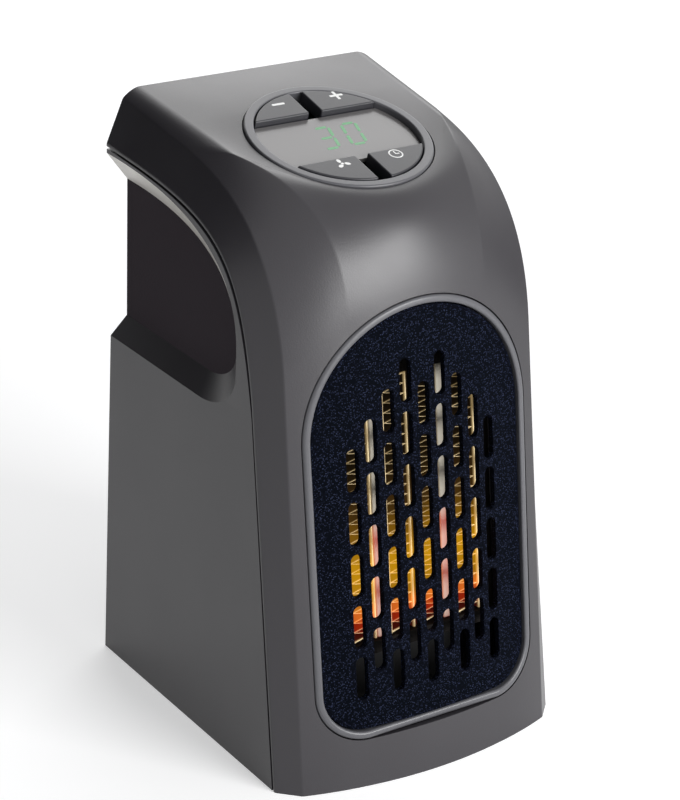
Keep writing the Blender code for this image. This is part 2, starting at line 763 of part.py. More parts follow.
def build_front_shell(materials, front, panel):
    """Build the shell: sloped top, bowed front, wings, outlet, panel hole and posts."""
    bm = bmesh.new()
    thicken(bm, shell_rows(), WALL)
    shell = make_object("front_shell", bm, materials["shell"], smooth=14)

    bm = bmesh.new()
    for x, height in post_places():
        start = bow(x) + WALL - BITE
        add_rod(bm, POST_RADIUS, start, DUCT_FACE - FIT, along_y, centre=(x, height))
    combine(shell, helper("shell_posts", bm, front), "UNION")

    bm = bmesh.new()
    for x, height in post_places():
        start = DUCT_FACE - SCREW_LENGTH
        add_rod(bm, SCREW_RADIUS + FIT, start, DUCT_FACE + OVERRUN, along_y, centre=(x, height))
    add_prism(bm, arch_outline(-FIT), -OVERRUN, OVERRUN, along_y)
    combine(shell, helper("shell_front_cuts", bm, front), "DIFFERENCE")

    bm = bmesh.new()
    add_rod(bm, RING_RADIUS + FIT, -OVERRUN, OVERRUN, steps=RING_STEPS)
    combine(shell, helper("shell_panel_hole", bm, panel), "DIFFERENCE")
    return shell


def recess_outline(front, bottom, top, run, rise, brow_start):
    """Return the side view outline of a finger recess, open past the back plane."""
    back = BODY_DEPTH + OVERRUN
    points = [(back, bottom)]
    points += list(reversed(arc((front + run, bottom + rise), run, rise, 180, 270, CORNER_STEPS)))
    low = (0.0, front, brow_start)
    high = (0.0, RECESS_BROW_Y, top)
    brow = knee(low, (front, top), high, RECESS_BROW_FULLNESS_SHARE, BROW_STEPS) + [high]
    points += [(y, z) for x, y, z in brow]
    points.append((back, top))
    return points


def add_recess(bm, side, backing):
    """Add the solid that carves a finger recess, grown by a backing wall."""
    floor_grow = backing * FLOOR_BACKING_SHARE
    mouth_grow = backing * MOUTH_BACKING_SHARE
    floor = recess_outline(
        RECESS_FLOOR_FRONT - floor_grow,
        RECESS_FLOOR_BOTTOM - floor_grow,
        RECESS_FLOOR_TOP + floor_grow,
        RECESS_FLOOR_CORNER_RUN,
        RECESS_FLOOR_CORNER_RISE,
        RECESS_FLOOR_BOTTOM + RECESS_FLOOR_CORNER_RISE + RECESS_FLOOR_LIFT,
    )
    mouth = recess_outline(
        RECESS_MOUTH_FRONT - mouth_grow,
        RECESS_MOUTH_BOTTOM - mouth_grow,
        SEAM_BACK_Z - RECESS_MOUTH_MARGIN + mouth_grow,
        RECESS_MOUTH_CORNER_RUN,
        RECESS_MOUTH_CORNER_RISE,
        RECESS_MOUTH_BOTTOM + RECESS_MOUTH_CORNER_RISE + RECESS_MOUTH_LIFT,
    )
    depths = (
        (floor, RECESS_HALF - backing),
        (mouth, RECESS_MOUTH_HALF),
        (mouth, RECESS_MOUTH_HALF + OVERRUN),
    )
    add_loft(bm, [[(side * x, y, z) for y, z in outline] for outline, x in depths])


def side_section(margin, top):
    """Return the housing's section in the XZ plane, moved inwards by a margin."""
    right = [
        (BASE_HALF_WIDTH - margin, margin),
        (WAIST_HALF_WIDTH - margin, WAIST_HEIGHT),
        (WING_HALF_WIDTH - margin, SEAM_BACK_Z),
        (WING_HALF_WIDTH - margin, top),
    ]
    return right + [(-x, z) for x, z in reversed(right)]


def boss_places():
    """Return where the back cover's screws sit in the back plane."""
    return [
        (COVER_SCREW_X, COVER_SCREW_LOW),
        (-COVER_SCREW_X, COVER_SCREW_LOW),
        (COVER_SCREW_HIGH_X, COVER_SCREW_HIGH),
        (-COVER_SCREW_HIGH_X, COVER_SCREW_HIGH),
    ]


def wall_x(z):
    """Return the outer half-width of the housing's side at a height below the waist."""
    return BASE_HALF_WIDTH + (WAIST_HALF_WIDTH - BASE_HALF_WIDTH) * z / WAIST_HEIGHT


def base_outline():
    """Return the plan outline of the body at the base."""
    front = [(x, front_y(0, x)) for x in (FACET_BASE_HALF * k / 4 for k in range(-3, 4))]
    edge = shift_path(seam_path(), LIP)[-1]
    right = [(FACET_BASE_HALF, 0.0), (edge[0], edge[1]), (BASE_HALF_WIDTH, BODY_DEPTH)]
    return front + right + [(-x, y) for x, y in reversed(right)]


def build_rear_housing(materials):
    """Build the housing: sides with finger recesses, base, bosses and the switch opening."""
    bm = bmesh.new()
    top = BODY_HEIGHT
    add_prism(bm, side_section(0.0, top), -OVERRUN, BODY_DEPTH, along_y)
    housing = make_object("rear_housing", bm, materials["shell"])

    bm = bmesh.new()
    seam = shift_path(seam_path(), -SEAM)
    profile = [(y, z) for x, y, z in seam]
    profile[0] = (BODY_DEPTH + OVERRUN, profile[0][1])
    profile += [(profile[-1][0], -OVERRUN), (BODY_DEPTH + OVERRUN, -OVERRUN)]
    reach = BASE_HALF_WIDTH + OVERRUN
    add_prism(bm, profile, -reach, reach, along_x)
    combine(housing, helper("housing_profile", bm), "INTERSECT")

    bm = bmesh.new()
    for side in (-1, 1):
        add_recess(bm, side, 0.0)
    combine(housing, helper("housing_recesses", bm), "DIFFERENCE")

    bm = bmesh.new()
    add_prism(bm, side_section(WALL, top + OVERRUN), -2 * OVERRUN, BODY_DEPTH + OVERRUN, along_y)
    cavity = helper("housing_cavity", bm)
    bm = bmesh.new()
    for side in (-1, 1):
        add_recess(bm, side, WALL)
    combine(cavity, helper("housing_recess_walls", bm), "DIFFERENCE")
    combine(housing, cavity, "DIFFERENCE")

    bm = bmesh.new()
    floor = inset(base_outline(), WALL + SEAM + WALL * math.tan(FRONT_LEAN))
    limit = SEAM_BASE_Y + OVERRUN
    floor = [(x, min(y, limit)) for x, y in floor]
    add_prism(bm, floor, 0.0, WALL)
    combine(housing, helper("housing_front_floor", bm), "UNION")

    end = BODY_DEPTH - COVER_THICKNESS - FIT
    bm = bmesh.new()
    for x, z in boss_places():
        add_rod(bm, BOSS_RADIUS, end - BOSS_LENGTH, end, along_y, centre=(x, z))
    combine(housing, helper("housing_bosses", bm), "UNION")

    bm = bmesh.new()
    for x, z in boss_places():
        depth = BODY_DEPTH - SCREW_LENGTH - SCREW_HEAD_HEIGHT - FIT
        add_rod(bm, SCREW_RADIUS + FIT, depth, BODY_DEPTH + OVERRUN, along_y, centre=(x, z))
    half_y = ROCKER_CASE_WIDTH / 2 + FIT
    half_z = ROCKER_CASE_HEIGHT / 2 + FIT
    low = (BASE_HALF_WIDTH - OVERRUN, ROCKER_Y - half_y, ROCKER_Z - half_z)
    high = (BASE_HALF_WIDTH + OVERRUN, ROCKER_Y + half_y, ROCKER_Z + half_z)
    add_box(bm, low, high)
    combine(housing, helper("housing_holes", bm), "DIFFERENCE")
    return housing


def back_outline():
    """Return the body's outline at the back plane, from the base round over the top."""
    drop = (RECESS_FLOOR_BOTTOM - RECESS_MOUTH_BOTTOM) / (RECESS_MOUTH_HALF - RECESS_HALF)
    draft = (WAIST_HALF_WIDTH - BASE_HALF_WIDTH) / WAIST_HEIGHT
    ledge_z = (RECESS_FLOOR_BOTTOM - (BASE_HALF_WIDTH - RECESS_HALF) * drop) / (1 + draft * drop)
    facet = facet_path()[0]
    crease = crease_path()[0]
    edge = shift_path(seam_path(), LIP)[0]
    right = [
        (BASE_HALF_WIDTH, 0.0),
        (wall_x(ledge_z), ledge_z),
        (RECESS_HALF, RECESS_FLOOR_BOTTOM),
        (RECESS_HALF, RECESS_FLOOR_TOP),
        (WING_HALF_WIDTH, SEAM_BACK_Z),
        (edge[0], edge[2]),
        (facet[0], facet[2]),
        (crease[0], crease[2]),
    ]
    return right + [(-x, z) for x, z in reversed(right)]


def standoff_places():
    """Return where the power board's standoffs leave the back cover."""
    return [(x, z) for z in (STANDOFF_LOW, STANDOFF_HIGH) for x in (STANDOFF_X, -STANDOFF_X)]


def build_back_cover(materials):
    """Build the back cover with intake slots, turret hole, screw seats and standoffs."""
    inner = BODY_DEPTH - COVER_THICKNESS
    bm = bmesh.new()
    add_prism(bm, shrink(back_outline(), WALL + COVER_FIT), inner, BODY_DEPTH, along_y)
    cover = make_object("back_cover", bm, materials["shell"])

    bm = bmesh.new()
    for x, z in standoff_places():
        add_rod(bm, STANDOFF_RADIUS, inner - POWER_BOARD_STANDOFF, inner + BITE, along_y, centre=(x, z))
    combine(cover, helper("cover_standoffs", bm), "UNION")

    bm = bmesh.new()
    start, end = inner - OVERRUN, BODY_DEPTH + OVERRUN
    limit = PLUG_HEIGHT - TURRET_FLANGE - INTAKE_MARGIN - INTAKE_SLOT_HEIGHT
    for row in range(int((limit - INTAKE_BOTTOM) / INTAKE_PITCH) + 1):
        low = INTAKE_BOTTOM + row * INTAKE_PITCH
        for side in (-1, 1):
            near, far = side * INTAKE_BRIDGE / 2, side * INTAKE_SLOT_HALF
            add_box(bm, (min(near, far), start, low), (max(near, far), end, low + INTAKE_SLOT_HEIGHT))
    add_rod(bm, TURRET_RADIUS + FIT, start, end, along_y, PLUG_STEPS, (0, PLUG_HEIGHT))
    for x, z in boss_places():
        seat = BODY_DEPTH - SCREW_HEAD_HEIGHT - FIT
        hole = SCREW_RADIUS + FIT
        head = SCREW_HEAD_RADIUS + FIT
        profile = [(0, start), (hole, start), (hole, seat), (head, seat), (head, end), (0, end)]
        add_turned(bm, profile, along_y, SCREW_STEPS, (x, z))
    combine(cover, helper("cover_cuts", bm), "DIFFERENCE")
    return cover


def build_bezel_ring(materials, front):
    """Build the satin ring that lines the arched outlet."""
    outer = arch_outline(0.0)
    inner = arch_outline(BEZEL_WIDTH)
    bm = bmesh.new()
    rows = []
    front_edge, back_edge = -BEZEL_PROUD, BEZEL_DEPTH
    section = ((outer, front_edge), (inner, front_edge), (inner, back_edge), (outer, back_edge))
    for outline, depth in section:
        rows.append([bm.verts.new((x, bow(x) + depth, z)) for x, z in outline])
    for first, second in zip(rows, rows[1:] + rows[:1]):
        bridge(bm, first, second)
    return make_object("bezel_ring", bm, materials["bezel"], front, smooth=30)


def grille_column(x, half, corner, low):
    """Return the lowest and highest point of the grille plate at a distance from its middle."""
    top = ARCH_SPRING + math.sqrt(max(half * half - x * x, 0.0))
    past = max(abs(x) - (half - corner), 0.0)
    bottom = low + corner - math.sqrt(max(corner * corner - past * past, 0.0))
    return bottom, top


def slot_centres():
    """Return the middle of each grille slot, staggered by half a pitch between columns."""
    places = []
    crown = ARCH_HALF - BEZEL_WIDTH - SLOT_CROWN_MARGIN
    half_width = SLOT_WIDTH / 2
    middle = SLOT_COLUMNS // 2
    for column in range(SLOT_COLUMNS):
        x = (column - middle) * SLOT_COLUMN_PITCH
        top = SLOT_TOP + (column - middle) % 2 * SLOT_PITCH / 2
        reach = math.sqrt(max(crown ** 2 - (abs(x) + half_width) ** 2, 0.0))
        while top - SLOT_LENGTH > ARCH_BOTTOM + BEZEL_WIDTH + SLOT_MARGIN + SLOT_WIDTH:
            if top < ARCH_SPRING + reach:
                places.append((x, top - SLOT_LENGTH / 2))
            top -= SLOT_PITCH
    return places


def slot_outline(x, height):
    """Return an upright slot with round ends."""
    radius = SLOT_WIDTH / 2
    reach = SLOT_LENGTH / 2 - radius
    points = arc((x, height + reach), radius, radius, 0, 180, SLOT_END_STEPS)
    points += arc((x, height - reach), radius, radius, 180, 360, SLOT_END_STEPS)
    return points


def build_front_grille(materials, front):
    """Build the bowed grille plate and cut its staggered slots."""
    margin = BEZEL_WIDTH + FIT
    half = ARCH_HALF - margin
    corner = ARCH_CORNER - margin
    low = ARCH_BOTTOM + margin
    count = 2 * ARCH_STEPS
    columns = [half * math.sin(math.pi * (k / count - 0.5)) for k in range(count + 1)]
    columns[0], columns[-1] = -half, half
    bm = bmesh.new()
    rows = []
    for x in columns:
        bottom, top = grille_column(x, half, corner, low)
        near = GRILLE_RECESS + bow(x)
        far = near + GRILLE_THICKNESS
        points = ((x, near, bottom), (x, near, top), (x, far, top), (x, far, bottom))
        rows.append([bm.verts.new(point) for point in points])
    for first, second in zip(rows, rows[1:]):
        bridge(bm, first, second)
    bm.faces.new(rows[0])
    bm.faces.new(rows[-1])
    grille = make_object("front_grille", bm, materials["grille"], front, smooth=30)

    bm = bmesh.new()
    for x, height in slot_centres():
        add_prism(bm, slot_outline(x, height), -OVERRUN, OVERRUN, along_y)
    combine(grille, helper("grille_slots", bm, front), "DIFFERENCE")
    return grille


def fin_pack_places():
    """Return the middle of each fin pack and each ceramic bar across the element."""
    unit = 2 * FIN_PACK_WIDTH + BAR_WIDTH + 2 * FIT
    packs = []
    bars = []
    for side in (-1, 1):
        middle = side * (unit + UNIT_GAP) / 2
        bars.append(middle)
        offset = (BAR_WIDTH + FIN_PACK_WIDTH) / 2 + FIT
        packs += [middle - offset, middle + offset]
    return sorted(packs), bars


def fold_gaps(half, low, high):
    """Return the triangular gaps that a folded sheet leaves between two walls."""
    step = (high - low) / FIN_FOLDS
    gaps = []
    for k in range(FIN_FOLDS - 1):
        side = 1 if k % 2 else -1
        apex = (side * half, low + (k + 1) * step)
        base = [(-side * half, low + (k + 2) * step), (-side * half, low + k * step)]
        gaps.append(inset([apex, *base], FIN_SHEET / 2))
    return gaps


def build_fin_pack(name, x, materials, front):
    """Build one pack of folded fins between two metal strips."""
    low = ELEMENT_MIDDLE - ELEMENT_HEIGHT / 2
    high = ELEMENT_MIDDLE + ELEMENT_HEIGHT / 2
    half = FIN_PACK_WIDTH / 2
    bm = bmesh.new()
    add_box(bm, (-half, ELEMENT_DEPTH, low), (half, ELEMENT_DEPTH + ELEMENT_THICKNESS, high))
    pack = make_object(name, bm, materials["aluminium"], front, (x, 0, 0))
    bm = bmesh.new()
    for gap in fold_gaps(half - FIN_STRIP, low, high):
        add_prism(bm, gap, -OVERRUN, ELEMENT_DEPTH + ELEMENT_THICKNESS + OVERRUN, along_y)
    combine(pack, helper(name + "_gaps", bm, front, (x, 0, 0)), "DIFFERENCE")
    return pack


def build_element(materials, front):
    """Build the heating element: fin packs, ceramic bars, frame and thermal cut-out."""
    packs, bars = fin_pack_places()
    for number, x in enumerate(packs, 1):
        build_fin_pack(f"fin_pack_{number}", x, materials, front)
    low = ELEMENT_MIDDLE - ELEMENT_HEIGHT / 2
    high = ELEMENT_MIDDLE + ELEMENT_HEIGHT / 2
    for number, x in enumerate(bars, 1):
        bm = bmesh.new()
        half = BAR_WIDTH / 2
        add_box(bm, (-half, ELEMENT_DEPTH, low), (half, ELEMENT_DEPTH + ELEMENT_THICKNESS, high))
        make_object(f"ceramic_bar_{number}", bm, materials["ceramic"], front, (x, 0, 0))

    half = packs[-1] + FIN_PACK_WIDTH / 2 + FIT
    start = ELEMENT_DEPTH - FRAME_FRONT_LAP
    end = DUCT_FACE - FIT
    bm = bmesh.new()
    outer = rounded_box(half + FRAME_RAIL, low - FIT - FRAME_RAIL, high + FIT + FRAME_RAIL, FRAME_RAIL)
    add_prism(bm, outer, start, end, along_y)
    frame = make_object("element_frame", bm, materials["frame"], front)
    bm = bmesh.new()
    add_box(bm, (-half, -OVERRUN, low - FIT), (half, end + OVERRUN, high + FIT))
    combine(frame, helper("frame_opening", bm, front), "DIFFERENCE")

    bm = bmesh.new()
    top = high + FIT + FRAME_RAIL + FIT
    middle = (start + end) / 2
    add_rod(bm, CUTOUT_RADIUS, top, top + CUTOUT_HEIGHT, steps=CAN_STEPS, centre=(0, middle))
    make_object("thermal_cutout", bm, materials["steel"], front, smooth=40)


def motor_front():
    """Return how deep behind the front face the motor starts."""
    return DUCT_FACE + DUCT_PLATE + SHROUD_LENGTH + ARM_THICKNESS + FIT


def build_fan_duct(materials, front):
    """Build the duct: plate with a square eye, round shroud, arms and motor cup."""
    face = DUCT_FACE
    back = face + DUCT_PLATE
    end = back + SHROUD_LENGTH
    centre = (0, FAN_HEIGHT)
    bm = bmesh.new()
    add_prism(bm, rounded_box(DUCT_HALF, DUCT_BOTTOM, DUCT_TOP, DUCT_CORNER), face, back, along_y)
    duct = make_object("fan_duct", bm, materials["black"], front, smooth=35)

    bm = bmesh.new()
    low = ELEMENT_MIDDLE - ELEMENT_HEIGHT / 2
    high = ELEMENT_MIDDLE + ELEMENT_HEIGHT / 2
    eye = rounded_box(DUCT_EYE_HALF, low, high, FRAME_RAIL)
    add_prism(bm, eye, face - OVERRUN, back + OVERRUN, along_y)
    for x, height in post_places():
        add_rod(bm, SCREW_RADIUS + FIT, face - OVERRUN, back + OVERRUN, along_y, centre=(x, height))
    combine(duct, helper("duct_openings", bm, front), "DIFFERENCE")

    bm = bmesh.new()
    outer = SHROUD_RADIUS + SHROUD_WALL
    wall = [(SHROUD_RADIUS, back - BITE), (outer, back - BITE), (outer, end), (SHROUD_RADIUS, end)]
    add_turned(bm, wall, along_y, RING_STEPS, centre)
    combine(duct, helper("duct_shroud", bm, front), "UNION")

    bm = bmesh.new()
    reach = SHROUD_RADIUS + SHROUD_WALL / 2
    half = ARM_WIDTH / 2
    start, stop = end - BITE, end + ARM_THICKNESS
    add_box(bm, (-half, start, FAN_HEIGHT - reach), (half, stop, FAN_HEIGHT + reach))
    combine(duct, helper("duct_upright_arm", bm, front), "UNION")
    bm = bmesh.new()
    add_box(bm, (-reach, start + BITE / 2, FAN_HEIGHT - half), (reach, stop - FIT, FAN_HEIGHT + half))
    combine(duct, helper("duct_cross_arm", bm, front), "UNION")

    bm = bmesh.new()
    bore = MOTOR_RADIUS + FIT
    add_rod(bm, bore + MOTOR_CUP_WALL, end + BITE / 2, stop + MOTOR_CUP_DEPTH, along_y, MOTOR_STEPS, centre)
    combine(duct, helper("duct_cup", bm, front), "UNION")
    bm = bmesh.new()
    hole = SHAFT_RADIUS + FAN_GAP
    profile = [
        (0, start - OVERRUN),
        (hole, start - OVERRUN),
        (hole, stop),
        (bore, stop),
        (bore, stop + MOTOR_CUP_DEPTH + OVERRUN),
        (0, stop + MOTOR_CUP_DEPTH + OVERRUN),
    ]
    add_turned(bm, profile, along_y, MOTOR_STEPS, centre)
    combine(duct, helper("duct_cup_bore", bm, front), "DIFFERENCE")
    return duct


def blade_rings(angle):
    """Return the sections of one fan blade, from inside the hub to the tip."""
    rings = []
    root = HUB_RADIUS - HUB_WALL / 2
    tip = SHROUD_RADIUS - FAN_GAP
    for k in range(BLADE_STEPS + 1):
        share = k / BLADE_STEPS
        radius = root + (tip - root) * share
        pitch = BLADE_ROOT_PITCH + (BLADE_TIP_PITCH - BLADE_ROOT_PITCH) * share
        turn = angle + BLADE_SWEEP * share ** 2
        section = []
        for along, across in ((-1, -1), (1, -1), (1, 1), (-1, 1)):
            run = along * BLADE_CHORD / 2
            lift = across * BLADE_SHEET / 2
            sideways = run * math.cos(pitch) - lift * math.sin(pitch)
            depth = run * math.sin(pitch) + lift * math.cos(pitch)
            swing = turn + sideways / radius
            section.append((radius * math.cos(swing), depth, radius * math.sin(swing)))
        rings.append(section)
    return rings


def build_fan(materials, front):
    """Build the impeller, its shaft and the motor."""
    start = motor_front()
    hub_back = start - ARM_THICKNESS - FIT - FAN_GAP
    middle = hub_back - HUB_LENGTH / 2
    bm = bmesh.new()
    half = HUB_LENGTH / 2
    bore = SHAFT_RADIUS + FIT
    profile = [
        (0, -half),
        (HUB_RADIUS - HUB_WALL, -half),
        (HUB_RADIUS, HUB_WALL - half),
        (HUB_RADIUS, half),
        (bore, half),
        (bore, HUB_WALL - half),
        (0, HUB_WALL - half),
    ]
    add_turned(bm, profile, along_y, HUB_STEPS)
    impeller = make_object("fan_impeller", bm, materials["black"], front, (0, middle, FAN_HEIGHT), 35)
    for number in range(BLADE_COUNT):
        bm = bmesh.new()
        add_loft(bm, blade_rings(math.tau * number / BLADE_COUNT))
        blade = helper(f"blade_{number + 1}", bm, front, (0, middle, FAN_HEIGHT))
        combine(impeller, blade, "UNION")

    bm = bmesh.new()
    shaft_front = HUB_WALL - half + FIT
    shaft_end = start - middle - FIT
    add_rod(bm, SHAFT_RADIUS, shaft_front, shaft_end, along_y, PIN_STEPS)
    make_object("motor_shaft", bm, materials["steel"], front, (0, middle, FAN_HEIGHT), 40)

    bm = bmesh.new()
    neck = MOTOR_RADIUS / 2
    profile = [
        (0, 0),
        (MOTOR_RADIUS - BITE, 0),
        (MOTOR_RADIUS, BITE),
        (MOTOR_RADIUS, MOTOR_LENGTH - BITE),
        (MOTOR_RADIUS - BITE, MOTOR_LENGTH),
        (neck, MOTOR_LENGTH),
        (neck, MOTOR_LENGTH + BITE),
        (0, MOTOR_LENGTH + BITE),
    ]
    add_turned(bm, profile, along_y, MOTOR_STEPS)
    make_object("fan_motor", bm, materials["steel"], front, (0, start, FAN_HEIGHT), 35)


def build_screw(name, materials, parent, location):
    """Build one pan-head screw whose head faces +Y."""
    bm = bmesh.new()
    tip = SCREW_RADIUS / 2
    length = SCREW_LENGTH - FIT
    profile = [
        (0, -length),
        (tip, -length),
        (SCREW_RADIUS, -length + SCREW_RADIUS),
        (SCREW_RADIUS, 0),
        (SCREW_HEAD_RADIUS, 0),
        (SCREW_HEAD_RADIUS, SCREW_HEAD_HEIGHT / 2),
        (SCREW_HEAD_RADIUS * SCREW_CROWN_SHARE, SCREW_HEAD_HEIGHT),
        (0, SCREW_HEAD_HEIGHT),
    ]
    add_turned(bm, profile, along_y, SCREW_STEPS)
    make_object(name, bm, materials["steel"], parent, location, 40)


def build_screws(materials, front):
    """Build the screws of the back cover and of the fan duct."""
    for number, (x, z) in enumerate(boss_places(), 1):
        y = BODY_DEPTH - SCREW_HEAD_HEIGHT
        build_screw(f"cover_screw_{number}", materials, None, (x, y, z))
    for number, (x, height) in enumerate(post_places(), 1):
        y = DUCT_FACE + DUCT_PLATE + FIT
        build_screw(f"duct_screw_{number}", materials, front, (x, y, height))


def segment_outline(side_x, side_y, chord):
    """Return one half of a disc segment beyond a chord, as a button outline."""
    radius = RING_BORE - FIT
    start = math.degrees(math.asin(chord / radius))
    end = math.degrees(math.acos(BUTTON_GAP_HALF / radius))
    points = arc((0, 0), radius, radius, start, end, BUTTON_ARC_STEPS)
    points.append((BUTTON_GAP_HALF, chord))
    return [(side_x * x, side_y * y) for x, y in points]


def button_specs():
    """Return each button's name, sides and chord."""
    return [
        ("minus", -1, 1, BUTTON_BACK_CHORD, SWITCH_BACK),
        ("plus", 1, 1, BUTTON_BACK_CHORD, SWITCH_BACK),
        ("speed", -1, -1, BUTTON_FRONT_CHORD, SWITCH_FRONT),
        ("timer", 1, -1, BUTTON_FRONT_CHORD, SWITCH_FRONT),
    ]


def build_button(name, side_x, side_y, chord, reach, materials, panel):
    """Build one button: a crowned segment with a stem over its switch."""
    outline = segment_outline(side_x, side_y, chord)
    place = (side_x * SWITCH_X, side_y * reach)
    local = [(x - place[0], y - place[1]) for x, y in outline]
    crest = inset(local, BUTTON_CREST)
    bottom = BUTTON_PROUD - BUTTON_THICKNESS
    bm = bmesh.new()
    levels = ((local, bottom), (local, BUTTON_PROUD - BUTTON_CREST), (crest, BUTTON_PROUD))
    add_loft(bm, [[(x, y, level) for x, y in ring] for ring, level in levels])
    button = make_object(f"button_{name}", bm, materials["button"], panel, (*place, 0), 30)
    tip = switch_top() + BUTTON_TRAVEL + FIT
    bm = bmesh.new()
    add_rod(bm, STEM_RADIUS, tip, bottom + BITE)
    combine(button, helper(f"stem_{name}", bm, panel, (*place, 0)), "UNION")
    return button


def switch_top():
    """Return the level of the tactile switches' plungers in the panel plane."""
    return CONTROL_BOARD_LEVEL + FIT + SWITCH_BODY + SWITCH_PLUNGER


def build_control_panel(materials, panel):
    """Build the ring, window, buttons, board, switches and display module."""
    flange_top = -RING_DEPTH + RING_FLANGE_THICKNESS
    bm = bmesh.new()
    chamfer = RING_PROUD / 2
    profile = [
        (RING_BORE, -RING_DEPTH),
        (RING_FLANGE, -RING_DEPTH),
        (RING_FLANGE, flange_top),
        (RING_RADIUS, flange_top),
        (RING_RADIUS, RING_PROUD - chamfer),
        (RING_RADIUS - chamfer, RING_PROUD),
        (RING_BORE + chamfer, RING_PROUD),
        (RING_BORE, RING_PROUD - chamfer),
    ]
    add_turned(bm, profile)
    ring = make_object("control_ring", bm, materials["bezel"], panel, smooth=30)
    bm = bmesh.new()
    reach = (RING_BORE + RING_FLANGE) / 2
    leg_end = CONTROL_BOARD_LEVEL + FIT
    for k in range(4):
        angle = math.tau * k / 4
        centre = (reach * math.cos(angle), reach * math.sin(angle))
        add_rod(bm, RING_LEG_RADIUS, leg_end, BITE - RING_DEPTH, centre=centre)
    combine(ring, helper("ring_legs", bm, panel), "UNION")

    radius = RING_BORE - FIT
    low = -BUTTON_FRONT_CHORD + FIT
    high = BUTTON_BACK_CHORD - FIT
    start = math.degrees(math.asin(low / radius))
    end = math.degrees(math.asin(high / radius))
    outline = arc((0, 0), radius, radius, start, end, 8)
    outline += [(-x, y) for x, y in reversed(outline)]
    bm = bmesh.new()
    add_prism(bm, outline, WINDOW_LEVEL - WINDOW_THICKNESS, WINDOW_LEVEL)
    make_object("display_window", bm, materials["window"], panel)

    for name, side_x, side_y, chord, reach in button_specs():
        build_button(name, side_x, side_y, chord, reach, materials, panel)

    bm = bmesh.new()
    add_rod(bm, CONTROL_BOARD_RADIUS, CONTROL_BOARD_LEVEL - BOARD, CONTROL_BOARD_LEVEL, steps=40)
    make_object("control_board", bm, materials["board"], panel)

    base = CONTROL_BOARD_LEVEL + FIT
    half = SWITCH_SIZE / 2
    for name, side_x, side_y, chord, reach in button_specs():
        place = (side_x * SWITCH_X, side_y * reach, 0)
        bm = bmesh.new()
        add_box(bm, (-half, -half, base), (half, half, base + SWITCH_BODY))
        switch = make_object(f"tact_switch_{name}", bm, materials["black"], panel, place)
        bm = bmesh.new()
        add_rod(bm, SWITCH_PLUNGER_RADIUS, base + SWITCH_BODY - BITE, switch_top(), steps=PIN_STEPS)
        combine(switch, helper(f"plunger_{name}", bm, panel, place), "UNION")

    bm = bmesh.new()
    half_width, half_length = DISPLAY_WIDTH / 2, DISPLAY_LENGTH / 2
    top = WINDOW_LEVEL - WINDOW_THICKNESS - FIT
    add_box(bm, (-half_width, -half_length, base), (half_width, half_length, top))
    make_object("display_module", bm, materials["black"], panel)


